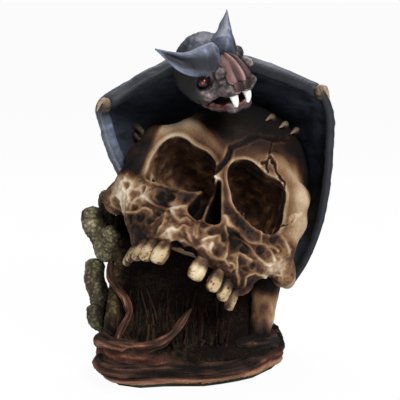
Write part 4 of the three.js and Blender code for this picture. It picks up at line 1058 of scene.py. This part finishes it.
def make_arm(name):
    """Forearm: a bar with a swell at the wrist and sinews along it."""
    def radii(t):
        """Half-width and half-thickness: a slight taper, a swell at the wrist and rounded ends."""
        end = np.sqrt(np.clip(1 - (np.abs(t - 0.5) / 0.505) ** 14, 0.01, 1))
        fat = (ARM_RADIUS - 0.6 * t + 0.6 * np.exp(-((t - 0.93) / 0.08) ** 2)) * end
        return fat * 0.95, fat

    rings, middle, t, around = swept(WINGS[name]["arm"], radii, 90, 40)
    sinew = np.cos(5 * around + 3 * t) * 0.25 + 0.35 * rough(rings, (8, 4, 3), 25)
    out = direction(rings - middle)
    rings = rings + out * sinew[..., None] * np.clip(4 * np.minimum(t, 1 - t), 0, 1)[..., None]
    # Painted highlight on faces that look up
    wash_and_shade = 0.76 - 0.4 * painted_top_light(out) - 0.14 * sinew
    verts, faces = tube(rings)
    piece(f"arm_{name}", verts, faces, HIDE, [f"arm_{name}"], capped(wash_and_shade, 0.3, 0.3))


def make_tail():
    """Tail: a tapered ridge down the back with cross folds."""
    rings, middle, t, _ = swept(TAIL, lambda t: (5.2 - 3.2 * t, 3.7 - 1.5 * t), 120, 28, (1, 0, 0))
    fold = np.sin(90 * t) * 0.2 + 0.25 * rough(rings, 4, 35)
    rings = middle + (rings - middle) * (1 + 0.12 * fold)[..., None]
    verts, faces = tube(rings)
    wash_and_shade = 0.6 - 0.15 * fold
    piece("bat_tail", verts, faces, HIDE, ["bat_tail"], capped(wash_and_shade, 0.4, 0.4))


def make_claw(name, points, radius, side, tone=0.56):
    """Claw: a bar that tapers to a point, with rings of growth and a dark root."""
    rings, middle, t, _ = swept(points, lambda t: (radius * (1 - t) ** 0.6 + 0.12,) * 2, 40, 16, side)
    rings = middle + (rings - middle) * (1 + 0.07 * np.sin(40 * t))[..., None]
    wash_and_shade = tone - 0.22 * ramp(t, 0.2, 0.7) + 0.35 * ramp(0.35 - t, 0, 0.35) + 0.16 * rough(rings, 1.5, 45)
    verts, faces = tube(rings)
    piece(name, verts, faces, CLAW, [name], capped(wash_and_shade, 0.6, 0.1))


def make_claws():
    """Thumbs on the wrists, left toes that grip the forehead and right toes that hang inside the wing."""
    for name, wing in WINGS.items():
        wrist = np.float32(wing["arm"][2])
        out = wing["side"]
        path = [wrist + np.float32(d) for d in (
            (0, -2, -2), (-0.5 * out, -6.5, 2.4), (2.2 * out, -9, 3), (4.6 * out, -9.5, -2.6))]
        make_claw(f"thumb_claw_{name}", path, THUMB_RADIUS, (0, 1, 0))
    for index, (x, z) in enumerate(LEFT_GRIPS):
        line = np.stack([np.full(500, x), np.linspace(-30, 60, 500), np.full(500, z)], -1).astype(np.float32)
        grip = line[np.argmax(bone(line) < 0.5)]
        away = direction(grip - CRANIUM_MIDDLE)
        up = np.float32((0.25, 0.55, 0.8)) * TOE_LENGTH
        path = [grip + up * share + away * lift for share, lift in ((0.75, -3.2), (0.35, 1.4), (-0.1, 0.6))]
        make_claw(f"toe_claw_left_{index + 1}", [from_skull(p) for p in path], TOE_RADIUS, (1, 0, 0), 0.8)
    for index, (s, t) in enumerate(RIGHT_FEET):
        foot = wing_point(WINGS["right"], np.array(s), np.array(t))
        inward = direction(HOOD_MIDDLE - foot)
        ahead = np.float32((0.25, -0.75, -0.35)) * TOE_LENGTH
        path = [foot - inward, foot + 3.6 * inward + 0.4 * ahead, foot + 4 * inward + ahead]
        make_claw(f"toe_claw_right_{index + 1}", path, TOE_RADIUS, (1, 0, 0))


make_skull()
for side, turns in (("right", RIGHT_TEETH), ("left", LEFT_TEETH)):
    for index, turn in enumerate(turns):
        make_tooth(f"tooth_{side}_{index + 1}", turn)
make_body()
make_tail()
for name in WINGS:
    make_wing(name)
    make_arm(name)
make_claws()


# Bat head, in its own frame: it looks along -y

# Balls: middle and half axes, with those off the middle mirrored on the other side
BAT_BRAINCASE = ((0, 2, 2), (18, 18, 15))
MUZZLE = ((0, -13.5, -1.2), (12.8, 12.8, 9.2))
JOWL = ((11, -6, -4), (8, 10, 8))
LIP = ((5.5, -21, -3.5), (6.5, 6, 4.8))
MUZZLE_KNOB = ((9.5, -20.5, 5.5), (3.2, 3.4, 3.4))
EYE_HOLLOW = ((15.8, -12.6, 1.7), (4.6, 4.4, 3.6))
MOUTH_ROOM = ((0, -11, -12.5), (12.8, 14.8, 8))
JAW_BOWL = ((0, -8.5, -11.8), (12.6, 14.2, 3.5))
CHIN = ((4, -19, -11.8), (4.5, 3.6, 3.2))
JAW_HOLLOW = ((0, -9.5, -8.4), (9.8, 11.8, 3.6))

# Brow bar: two ends and their radii
BAT_BROW = ((4, -15, 8), (15, -8, 9.5), 3.6, 3.6)

# Slope of the lower jaw to the front, then places and sizes of the eyes, fangs, nose leaf and ears
JAW_DROP = 0.16
EYE_AT = (15, -11.6, 2)
EYE_RADIUS = 3.1
LID_RADIUS = 5.4
FANG_ROOT = (4.7, -21.5, -6.5)
FANG_HALF_WIDTH = 2.7
FANG_HALF_THICKNESS = 2.2
LEAF_LINE = [(-1, -26.5, -5.5), (-1, -26.8, 1.5), (-0.5, -22, 8.3), (0, -14, 13.1)]
EAR_FOOT = (5.7, -11, 14.4)
EAR_SUNK = 3.5
EAR_REACH = 31.9
EAR_HALF_THICKNESS = 6.2


def bat_head(p):
    """Head: braincase, muzzle, cheeks, brows, lips and knobs on the muzzle joined with fillets, with the
    eye hollows and the mouth taken out."""
    s = folded(p)
    d = ball(p, *BAT_BRAINCASE)
    d = join(d, ball(p, *MUZZLE), 5)
    d = join(d, ball(s, *JOWL), 4)
    d = join(d, bar(s, *BAT_BROW), 3)
    d = join(d, ball(s, *LIP), 2)
    d = join(d, ball(s, *MUZZLE_KNOB), 2)
    d = carve(d, ball(s, *EYE_HOLLOW), 1.5)
    return carve(d, ball(p, *MOUTH_ROOM), 1.5)


def bat_jaw(p):
    """Lower jaw: a bowl that drops to the front, hollow on top, with a chin."""
    q = np.array(p)
    q[..., 2] -= JAW_DROP * np.minimum(0, p[..., 1])
    d = ball(q, *JAW_BOWL)
    d = join(d, ball(folded(q), *CHIN), 2)
    return carve(d, ball(q, *JAW_HOLLOW), 1)


def make_head():
    """Head and lower jaw, with wrinkles across the muzzle and a dark red mouth."""
    verts, faces = skin(bat_head, (spaced((-23, 23, 0.62)), spaced((-34, 22, 0.62)), spaced((-16, 21, 0.62))))
    _, n = lean(bat_head, verts)
    free = openness(bat_head, verts, n, (1.5, 4.0, 8.0))
    crease = rough(shaken(verts, 5, 1.5, 4), (5, 1.7, 2.2), 55)
    _, y, z = verts.T
    muzzle = ramp(-y, 4, 12)
    spot = verts + n * (0.4 * crease * muzzle)[:, None]
    mouth = ramp(1.1 - ball(verts, *MOUTH_ROOM), 0, 0.8)
    lid = np.exp(-(np.linalg.norm(folded(verts) - np.float32(EYE_AT), axis=1) - LID_RADIUS) ** 2)
    fur = rough(shaken(verts, 4, 1.2, 6), (1.1, 3.5, 3.5), 57)
    # Painted shade where the space in front is closed
    wash_and_shade = 0.7 + 0.9 * (0.86 - free) - 0.34 * crease * muzzle - 0.12 * muzzle - 0.22 * lid - 0.22 * fur
    wash_and_shade += 0.3 * mouth + 0.6 * ramp(y, -14, -4) + 0.3 * ramp(z, 4, 9) * ramp(y, -18, -13)
    piece("bat_head", from_head(spot), faces, FACE, ["bat_head"], {"wash_and_shade": wash_and_shade, "stain": mouth})
    verts, faces = skin(bat_jaw, (spaced((-16, 16, 0.62)), spaced((-30, 11, 0.62)), spaced((-22, -4, 0.62))))
    _, n = lean(bat_jaw, verts)
    free = openness(bat_jaw, verts, n, (1.5, 4.0))
    crease = rough(verts, (3, 2, 2), 65)
    inside = ramp(n[:, 2], 0.0, 0.5) * ramp(0.93 - free, 0.0, 0.15)
    # Painted shade where the space in front is closed, and painted highlight on faces that look up
    wash_and_shade = 0.56 + 0.8 * (0.9 - free) - 0.25 * crease - 0.35 * ramp(n[:, 2], 0.3, 0.8) * (1 - inside)
    spot = verts + n * (0.25 * crease)[:, None]
    piece("bat_lower_jaw", from_head(spot), faces, FACE, ["bat_lower_jaw"],
          {"wash_and_shade": wash_and_shade, "stain": inside})


def make_leaf():
    """Nose leaf: a spear-shaped sheet that lies back along the top of the muzzle, with folds and drooping
    edges."""
    v, u = np.meshgrid(np.linspace(0, 1, 60), np.linspace(-1, 1, 41), indexing="ij")
    middle = bend(LEAF_LINE, v)
    low = 0.55 + 0.45 * np.sin(np.pi / 2 * np.clip(v / 0.4, 0, 1))
    end = np.sqrt(np.clip(1 - np.clip((v - 0.8) / 0.2, 0, 1) ** 2, 0.01, 1))
    wide = LEAF_HALF_WIDTH * low * end * (1 - 0.3 * np.clip((v - 0.4) / 0.6, 0, 1)) + 0.3
    along = direction(np.gradient(middle, axis=0))
    across = np.float32((1, 0, 0))
    out = np.cross(along, np.broadcast_to(across, along.shape))
    out = out * np.sign(out[..., 2:])
    crumple = noise(np.stack([u * 5, v * 2.4, 0 * u], -1), 1, 75)
    fold = 0.8 * np.cos(3.1 * np.pi * u) * (1 - np.abs(u)) + 0.5 * crumple
    droop = -0.028 * (u * wide) ** 2
    face = middle + across * (u * wide)[..., None] + out * (droop + fold * np.minimum(1, wide / 6))[..., None]
    half = (0.5 + 0.8 * (1 - u * u))[..., None] * np.minimum(1, wide / 4)[..., None]
    wash_and_shade = 0.52 - 0.42 * fold - 0.3 * np.abs(u) ** 6 + 0.3 * ramp(0.25 - v, 0, 0.25) + 0.2 * ramp(u, 0, 0.5)
    wash_and_shade = wash_and_shade + 0.6 * np.exp(-((np.abs(u) - 0.45) / 0.16) ** 2 - ((v - 0.16) / 0.1) ** 2)
    verts, faces = sheet(face + out * half, face - out * half)
    piece("bat_nose_leaf", from_head(verts), faces, LEAF, ["bat_nose_leaf"],
          {"wash_and_shade": np.concatenate([wash_and_shade.ravel(), wash_and_shade.ravel() + 0.2])})


def make_ear(name, side, rise, sag, stout):
    """Ear: a curved horn, an ellipse that shrinks to the tip, moved by sag at its elbow and by half of it
    at its foot, fuller by stout along its back, with a hollow pressed into the side that faces out and
    forward."""
    out, back, up = EAR_FOOT
    foot = np.float32((side * out, back, up)) - EAR_SUNK * np.float32(rise)
    tip = foot + EAR_REACH * np.float32(rise)
    elbow = (foot + tip) / 2 + np.float32((side * 3, 0, -1.5)) + np.float32(sag)
    foot = foot + np.float32(sag) / 2
    turn = np.linspace(0, 2 * np.pi, 72, endpoint=False)
    t, turn = np.meshgrid(np.linspace(0, 1, 80), turn, indexing="ij")
    middle = bend([foot, elbow, tip], t[:, 0])
    along = direction(np.gradient(middle, axis=0))
    across = direction(np.cross(along, np.float32((side * 0.65, -0.76, 0))))
    mouth = np.cross(across, along)
    bowl = np.sqrt(np.clip(1 - (1 - np.clip(t / 0.1, 0, 1)) ** 2, 0.03, 1))
    taper = (0.04 + 0.96 * (1 - t) * (1 + 1.1 * t * (1 - t))) * bowl
    u = np.cos(turn)
    w = np.sin(turn)
    hollow = np.where(w > 0, 1.6 * np.exp(-(u / 0.62) ** 2), 0) * ramp(0.97 - t, 0, 0.2) * ramp(t, 0, 0.14)
    rings = middle[:, None] + across[:, None] * (EAR_HALF_WIDTH * u * taper)[..., None]
    thick = EAR_HALF_THICKNESS * np.where(w < 0, 1 + 0.7 * ramp(0.5 - t, 0, 0.5), 1)
    pressed = hollow * (0.12 + 0.88 * ramp(t, 0.25, 0.65))
    rings = rings + mouth[:, None] * (thick * w * (1 - pressed) * taper)[..., None]
    fuller = stout * np.minimum(w, 0) * ramp(t, 0.1, 0.4) * ramp(0.98 - t, 0, 0.3)
    rings = rings + mouth[:, None] * fuller[..., None]
    grain = rough(rings, (3, 3, 6), 85)
    rings = rings + mouth[:, None] * (0.25 * grain * taper)[..., None]
    edge = np.exp(-((np.abs(u) - 0.86) / 0.12) ** 2) * (w > 0)
    # Painted shade in the ear's bowl and painted highlight along its edge
    wash_and_shade = 0.36 + 0.34 * np.clip(hollow - 0.5, 0, 1) - 0.16 * edge - 0.12 * grain
    verts, faces = tube(rings.astype(np.float32))
    piece(f"bat_ear_{name}", from_head(verts), faces, HIDE, [f"bat_ear_{name}"],
          capped(wash_and_shade, 0.5, 0.3))


def fang_radii(t):
    """Half-width and half-thickness of a fang: they fall to its point with the root of the length that is
    left."""
    left = (1.02 - t) ** 0.5
    return FANG_HALF_WIDTH * left + 0.05, FANG_HALF_THICKNESS * left + 0.05


def make_eyes_and_fangs():
    """Dark eyes with a red spot that looks forward, and the two upper fangs."""
    turn = np.linspace(0, 2 * np.pi, 32, endpoint=False)
    turn, fall = np.meshgrid(turn, np.linspace(0.04, np.pi - 0.04, 24))
    globe = np.stack([np.sin(fall) * np.cos(turn), np.sin(fall) * np.sin(turn), np.cos(fall)], -1)
    for name, side in (("left", 1), ("right", -1)):
        mirror = np.float32((side, 1, 1))
        look = np.float32((0.72, -0.68, 0.1)) * mirror
        wash_and_shade = 1.0 - 0.7 * ramp(globe @ look, 0.95, 0.985)
        verts, faces = tube((np.float32(EYE_AT) * mirror + EYE_RADIUS * globe).astype(np.float32))
        piece(f"bat_eye_{name}", from_head(verts), faces, EYE, [f"bat_eye_{name}"],
              capped(wash_and_shade, 1.0, 1.0))
        root = np.float32(FANG_ROOT) * mirror
        tip = root + np.float32((-0.8 * side, 0, -FANG_LENGTH))
        path = [root, root + np.float32((0, -1, -FANG_LENGTH / 2)), tip]
        rings, _, t, _ = swept(path, fang_radii, 30, 18, (1, 0, 0))
        verts, faces = tube(rings)
        wash_and_shade = 0.05 + 0.5 * ramp(0.2 - t, 0, 0.2)
        piece(f"bat_fang_{name}", from_head(verts), faces, FANG, [f"bat_fang_{name}"],
              capped(wash_and_shade, 0.6, 0.05))


make_head()
make_leaf()
make_ear("left", 1, rise=(0.628, 0.526, 0.568), sag=(-2, 0, 0), stout=2.6)
make_ear("right", -1, rise=(-0.873, 0.526, 0.34), sag=(0, -2, -3.4), stout=0)
make_eyes_and_fangs()


# Base

# Length for which a share of 1 stands at the edge, and reach of the skull's shade on the earth
EDGE_REACH = 46.0
SKULL_SHADE = 9.0


def outline(turn):
    """Edge of the base: lumps of three, five and nine waves, and one corner at the front."""
    lumps = 1 + 0.05 * np.cos(3 * turn + 0.6) + 0.035 * np.cos(5 * turn - 0.4) + 0.02 * np.cos(9 * turn)
    return lumps * (1 + 0.12 * np.exp(-((turn + 2.1) / 0.35) ** 2))


def mound(x, y, share):
    """Height of the earth: a plinth, a bank behind its front that carries the skull, and a hump at the
    right."""
    slope = 0.5 + (MOUND_CLIFF - 0.5) * ramp(-x, 0.1 * BASE_HALF_WIDTH, 0.6 * BASE_HALF_WIDTH)
    bank = ramp(1 - share, 0.06, slope) * ramp(y, MOUND_FRONT, MOUND_FRONT + MOUND_RUN)
    hump = np.exp(-((x - HUMP_X) / HUMP_REACH) ** 2 - ((y - HUMP_Y) / HUMP_REACH) ** 2)
    return PLINTH_HEIGHT + (MOUND_HEIGHT - PLINTH_HEIGHT) * bank + HUMP_HEIGHT * hump


def edge_share(x, y):
    """Share of the way from the middle of the base to its edge."""
    return np.hypot(x / BASE_HALF_WIDTH, y / BASE_HALF_DEPTH) / outline(np.arctan2(y, x))


def wave(x, y):
    """Low lumps on the earth: a sine along x times a cosine along y."""
    return LUMP_HEIGHT * np.sin(LUMP_TURN * x + 1) * np.cos(LUMP_TURN * y)


def earth(p):
    """Base: inside the lumpy edge, below the height of the mound and above the felt, clear of the skull."""
    x, y, z = np.moveaxis(p, -1, 0)
    share = edge_share(x, y)
    side = (share - 1 + 0.03 * ramp(z, 12, 2)) * EDGE_REACH
    top = (z - mound(x, y, np.minimum(share, 1)) - wave(x, y)) * 0.6
    d = -join(-side, -top, 6)
    d = np.maximum(d, BASE_FLOOR - z)
    return np.maximum(d, -(bone(to_skull(p)) - CLEARANCE))


def make_base():
    """Earth with a red-brown wooden edge that rises to a corner at the front right, gravel and moss on the
    bank, and painted shade in the hollows, in the skull's shadow and up the bank below the skull's
    mouth."""
    verts, faces = skin(earth, (spaced((-62, 62, 1.15)), spaced((-64, 62, 1.15)), spaced((0.6, 96, 1.1))))
    _, n = lean(earth, verts)
    x, y, z = verts.T
    free = openness(earth, verts, n, (3.0, 8.0, 14.0))
    under = np.clip(bone(to_skull(verts + SKULL_SHADE * n)) / SKULL_SHADE, 0, 1)
    corner = ramp(-x, -8, 22) * ramp(-y, 12, 30)
    steep = np.maximum(ramp(1 - np.abs(n[:, 2]), 0.1, 0.5), corner)
    band = ramp(13 + 9 * corner - z, -3, 5) * steep
    first, _ = cells(shaken(verts, 4, 1.0, 3), (2.6, 2.6, 2.6), 5)
    stones = (1 - np.clip(first * 1.5, 0, 1)) * (1 - band)
    bark = rough(verts, (11, 11, 1.5), 15)
    keep = ramp(z, BASE_FLOOR + 0.2, BASE_FLOOR + 2)
    height = (1.1 * stones - 0.5 + 0.35 * rough(verts, 9, 25)) * (1 - band) + 0.7 * bark * band
    # Painted shade in the hollows, in the skull's shadow and up the bank below the skull's mouth
    wash_and_shade = 0.98 - 0.42 * stones - 0.24 * rough(verts, 14, 35) + 0.6 * (0.8 - free) + 0.5 * (1 - under)
    wash_and_shade += 0.5 * ramp(z, 26, 44) * ramp(x, -40, -28) + 0.16 * ramp(x, -12, 16) - 0.2 * ramp(-x, 20, 36)
    # Painted shade in the hollows of the wood
    wood = 0.6 - 0.34 * bark + 0.5 * (0.85 - free) - 0.6 * ramp(7 - z, 0, 3) - 0.14 * corner
    wash_and_shade = wash_and_shade * (1 - band) + band * wood
    spot = verts + n * (height * keep)[:, None]
    piece("base_mound", spot, faces, EARTH, ["base_mound"], {"wash_and_shade": wash_and_shade, "stain": band})


# Roots: places along each, radius at its start and at its end, share of its length that closes an end,
# and wash
ROOTS = {
    "root_front": (
        [(-47, -26, 10), (-37, -54, 10), (-8, -50, 8.5), (20, -48, 9), (43, -24, 10)], 7, 5.6, 0.1, 0.9),
    "root_left": (
        [(-49, -30, 22), (-34, -45, 21), (-20, -47, 21), (-7, -43, 27), (4, -38, 41)], 6, 1.6, 0.08, 0.7),
    "root_right": (
        [(28, -39, 21), (43, -26, 20), (50, -4, 15), (50, 16, 9)], 4.6, 6.5, 0.14, 0.98),
    "vine": (
        [(-41.5, -9, 62), (-41, -16, 52), (-32.5, -24, 42), (-31, -30, 35), (-35.5, -37, 27), (-38, -42, 18)],
        2.3, 2.3, 0.06, 0.58),
}

# Share of a root's and a branch's radius that its core has, under lumps and grain
ROOT_CORE = 0.83
BRANCH_CORE = 0.9

# Branches: places along each, radius at its start and at its end, and share of its length that closes an end
BRANCHES = {
    "trunk": ([(-44, -4, 18), (-48, -1, 36), (-51.5, 4, 50), (-50.5, 6, 60)], 7, 6, 0.14),
    "branch_stump": ([(-46, -10, 22), (-50, -10, 30), (-51, -10, 37)], 4.6, 5.1, 0.2),
    "branch_upper": ([(-42, 0, 60), (-47, 5, 70), (-52, 7, 80), (-52.5, 7, 90)], 6, 7, 0.14),
    "branch_nub": ([(-43, 13, 76), (-45, 14, 86), (-45.5, 15, 98)], 4.6, 4.6, 0.25),
    "branch_side": ([(-44, 0, 66), (-41.5, -3, 72), (-41, -4, 81)], 4.6, 4.3, 0.25),
}

# Broken jaw bone: places along it, and its radius at the foot and at the top
STUB = [(40, -22, 16), (43.5, -18, 34), (48, -12, 63)]
STUB_RADII = (5.7, 8)


def rounded(first, last, end):
    """Radius from first to last, closed like a ball over the share end at both ends."""
    def radii(t):
        """Half-width and half-thickness, which are the same."""
        near = np.clip(np.minimum(t, 1 - t) / end, 0, 1)
        fat = (first + (last - first) * t) * np.sqrt(np.clip(1 - (1 - near) ** 2, 0.002, 1))
        return fat, fat
    return radii


def pushed(rings, middle, height):
    """Rings moved outwards from their middles by a height, and the directions outwards."""
    out = direction(rings - middle)
    return rings + out * height[..., None], out


def make_root(name):
    """Driftwood root: a bar with lumps, twisting strands and deep grain along it, paler along its lower
    edge and at the front right corner."""
    points, first, last, end, tone = ROOTS[name]
    rings, middle, t, around = swept(points, rounded(ROOT_CORE * first, ROOT_CORE * last, end), 190, 64)
    size = (first + (last - first) * t) / 7
    strand = np.cos(3 * around + 9 * t) + 0.6 * np.cos(5 * around - 13 * t + 1)
    grain = rough(np.stack([t * 9, np.cos(around) * 5.5, np.sin(around) * 5.5], -1), 1, 95, 3)
    lump = rough(rings, 8, 97, 2)
    height = size * (0.5 * strand + 0.8 * grain + 1.1 * lump) * np.clip(8 * np.minimum(t, 1 - t), 0, 1)
    rings, _ = pushed(rings, middle, height)
    x, _, z = np.moveaxis(rings, -1, 0)
    wash_and_shade = tone - 0.12 * strand - 0.3 * grain - 0.16 * lump - 0.85 * ramp(8 - z, 0, 4)
    wash_and_shade = wash_and_shade - 0.24 * ramp(-x, 26, 40) * ramp(26 - z, 0, 6)
    verts, faces = tube(rings)
    piece(name, verts, faces, WOOD, [name], capped(wash_and_shade, 0.6, 0.6))


def make_branch(name):
    """Mossy branch: a bar with soft lumps and a speckled crust, painted shade where it faces down or in."""
    points, first, last, end = BRANCHES[name]
    rings, middle, _, _ = swept(points, rounded(BRANCH_CORE * first, BRANCH_CORE * last, end), 110, 64)
    lumps = rough(rings, 9, 105, 2)
    near, _ = cells(shaken(rings, 3, 0.6, 7), 1.9, 8)
    crust = 1 - np.clip(near * 1.5, 0, 1)
    rings, out = pushed(rings, middle, 1.4 * lumps + 0.5 * crust)
    # Painted shade on faces that look down or in
    wash_and_shade = 0.74 - 0.46 * crust - 0.24 * lumps - 0.16 * out[..., 2] + 0.34 * np.clip(out[..., 0], 0, 1)
    verts, faces = tube(rings)
    piece(name, verts, faces, MOSS, [name], capped(wash_and_shade, 0.5, 0.2))


def make_stub():
    """Broken jaw bone: a bar that widens upwards, with a worn face and a brown hollow."""
    rings, middle, t, around = swept(STUB, rounded(*STUB_RADII, 0.12), 90, 48)
    worn = rough(rings, (4, 4, 11), 115)
    hollow = np.exp(-((around - 4.2) / 0.5) ** 2 - ((t - 0.62) / 0.2) ** 2)
    rings, out = pushed(rings, middle, 0.6 * worn - 1.6 * hollow)
    # Painted shadow of the skull on the top of the stub; also darker towards the foot
    wash_and_shade = 0.56 - 0.26 * worn + 0.4 * hollow + 0.5 * ramp(0.46 - t, 0, 0.26) + 0.7 * ramp(t, 0.64, 0.78)
    wash_and_shade = wash_and_shade - 0.3 * np.clip(out[..., 0], 0, 1)
    verts, faces = tube(rings)
    piece("jaw_stub", verts, faces, BONE, ["jaw_stub"], capped(wash_and_shade, 0.8, 0.3))


# Grass: how many strands, the x of the first and their spread, their lowest foot and least rise, the x that
# none passes at the right, the y where the search for the bank starts, and how far they lie before it
STRAND_COUNT = 140
STRAND_START = -36.0
STRAND_SPREAD = 58.0
STRAND_FOOT = 20.0
STRAND_RISE = 8.0
STRAND_EDGE = -37.0
STRAND_FRONT = -44.0
STRAND_PROUD = 0.5


def make_strands():
    """Dry grass and thin rootlets: many tapered bars that climb the front of the bank in a fan."""
    order = np.arange(STRAND_COUNT)
    a, b, c, e = (scramble(order, order * 0 + 7, order * 0 + k, 5) for k in range(4))
    x = STRAND_START + STRAND_SPREAD * a ** 1.6
    foot = STRAND_FOOT + 3 * c
    parts = []
    washes = []
    for i in range(STRAND_COUNT):
        lean_x = 0.16 * (x[i] + 6) + 9 * (b[i] - 0.5)
        rise = STRAND_RISE + 17 * c[i]
        along = np.linspace(0, 1, 5)
        over = np.maximum(x[i] + lean_x * along + 1.5 * np.sin(4 * along + 6 * e[i]), STRAND_EDGE)
        height = foot[i] + rise * along
        path = np.stack([over, bank_front(over, height) - STRAND_PROUD, height], -1)
        thick = 0.7 + 0.5 * e[i]
        rings, *_ = swept(path, lambda t: (thick * (1 - 0.75 * t) + 0.1,) * 2, 18, 7, (0, 1, 0))
        shape = tube(rings.astype(np.float32))
        parts.append(shape)
        washes.append(np.full(len(shape[0]), 0.5 + 0.45 * e[i] + 0.28 * a[i]))
    verts, faces = merged(parts)
    stain = np.repeat((b > 0.8).astype(np.float32), len(parts[0][0]))
    piece("grass_strands", verts, faces, EARTH, [], {"wash_and_shade": np.concatenate(washes), "stain": stain})


def bank_front(x, z):
    """The y at which the bank reaches the height z at x, by search from the front, or its top if it stays
    lower."""
    y = np.linspace(STRAND_FRONT, 30, 400)
    x = x[:, None]
    tall = mound(x, y, np.minimum(edge_share(x, y), 1)) + wave(x, y)
    reached = tall > z[:, None]
    return y[np.where(reached.any(axis=1), reached.argmax(axis=1), tall.argmax(axis=1))]


make_base()
for name in ROOTS:
    make_root(name)
for name in BRANCHES:
    make_branch(name)
make_stub()
make_strands()

# The felt keeps its solid and takes the felt finish
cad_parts["felt_pad"].data.materials[0] = FELT


# Camera, floor and light

# Half-width of the floor in metres, its share of white towards the camera, and strength of the world's light
FLOOR_HALF = 6.0
FLOOR_GLOW = 0.955
WORLD_LIGHT = 0.15


def make_camera():
    """Camera in front of the piece, a little above it, framed so that 225 mm at the target fill the
    picture."""
    camera = bpy.data.cameras.new("camera")
    camera.sensor_width = SENSOR
    camera.lens = SENSOR * VIEW_DISTANCE / VIEW_WIDTH
    camera.clip_start = 0.05
    made = bpy.data.objects.new("camera", camera)
    towards = np.array((0, -math.cos(VIEW_ELEVATION), math.sin(VIEW_ELEVATION)))
    made.location = VIEW_TARGET + VIEW_DISTANCE * towards
    made.rotation_euler = (math.pi / 2 - VIEW_ELEVATION, 0, 0)
    bpy.context.scene.collection.objects.link(made)
    bpy.context.scene.camera = made


def lamp(name, place, size, power, colour=(1, 1, 1)):
    """Soft square light that faces the middle of the piece."""
    light = bpy.data.lights.new(name, "AREA")
    light.size = size
    light.energy = power
    light.color = colour
    made = bpy.data.objects.new(name, light)
    made.location = place
    aim = np.array((0.0, 0.0, 0.1)) - np.array(place)
    tilt = math.acos(-aim[2] / np.linalg.norm(aim))
    made.rotation_euler = (tilt, 0, math.atan2(aim[1], aim[0]) - math.pi / 2)
    bpy.context.scene.collection.objects.link(made)


def make_stage():
    """White floor and world: rays from the camera and through clear pieces see white, other rays a soft
    grey light."""
    mesh = bpy.data.meshes.new("floor")
    corners = [(-FLOOR_HALF, -FLOOR_HALF, 0), (FLOOR_HALF, -FLOOR_HALF, 0), (FLOOR_HALF, FLOOR_HALF, 0),
               (-FLOOR_HALF, FLOOR_HALF, 0)]
    mesh.from_pydata(corners, [], [(0, 1, 2, 3)])
    floor = bpy.data.objects.new("floor", mesh)
    bpy.context.scene.collection.objects.link(floor)
    material = bpy.data.materials.new("pale_floor")
    material.use_nodes = True
    tree = material.node_tree
    shader = tree.nodes["Principled BSDF"]
    shader.inputs["Base Color"].default_value = (0.85, 0.85, 0.85, 1)
    shader.inputs["Roughness"].default_value = 0.9
    glow = tree.nodes.new("ShaderNodeEmission")
    rays = tree.nodes.new("ShaderNodeLightPath")
    share = wired(tree, "ShaderNodeMath", rays.outputs["Is Camera Ray"], FLOOR_GLOW, operation="MULTIPLY")
    mix = wired(tree, "ShaderNodeMixShader", share.outputs[0], shader.outputs[0], glow.outputs[0])
    tree.links.new(mix.outputs[0], tree.nodes["Material Output"].inputs["Surface"])
    mesh.materials.append(material)
    world = bpy.data.worlds.new("studio")
    bpy.context.scene.world = world
    world.use_nodes = True
    tree = world.node_tree
    back = tree.nodes["Background"]
    rays = tree.nodes.new("ShaderNodeLightPath")
    seen = wired(tree, "ShaderNodeMath", rays.outputs["Is Camera Ray"], rays.outputs["Is Transmission Ray"],
                 operation="MAXIMUM")
    level = wired(tree, "ShaderNodeMapRange", seen.outputs[0])
    level.inputs["To Min"].default_value = WORLD_LIGHT
    level.inputs["To Max"].default_value = 1.0
    tree.links.new(level.outputs[0], back.inputs["Strength"])
    back.inputs["Color"].default_value = (1, 1, 1, 1)


make_camera()
make_stage()
lamp("key", (0.4, -0.85, 0.75), 0.45, 12.0)
lamp("fill", (-0.8, -0.7, 0.3), 0.7, 1.5)
lamp("top", (0.0, 0.4, 0.95), 0.6, 8.0)
bpy.context.scene.view_settings.view_transform = "Standard"
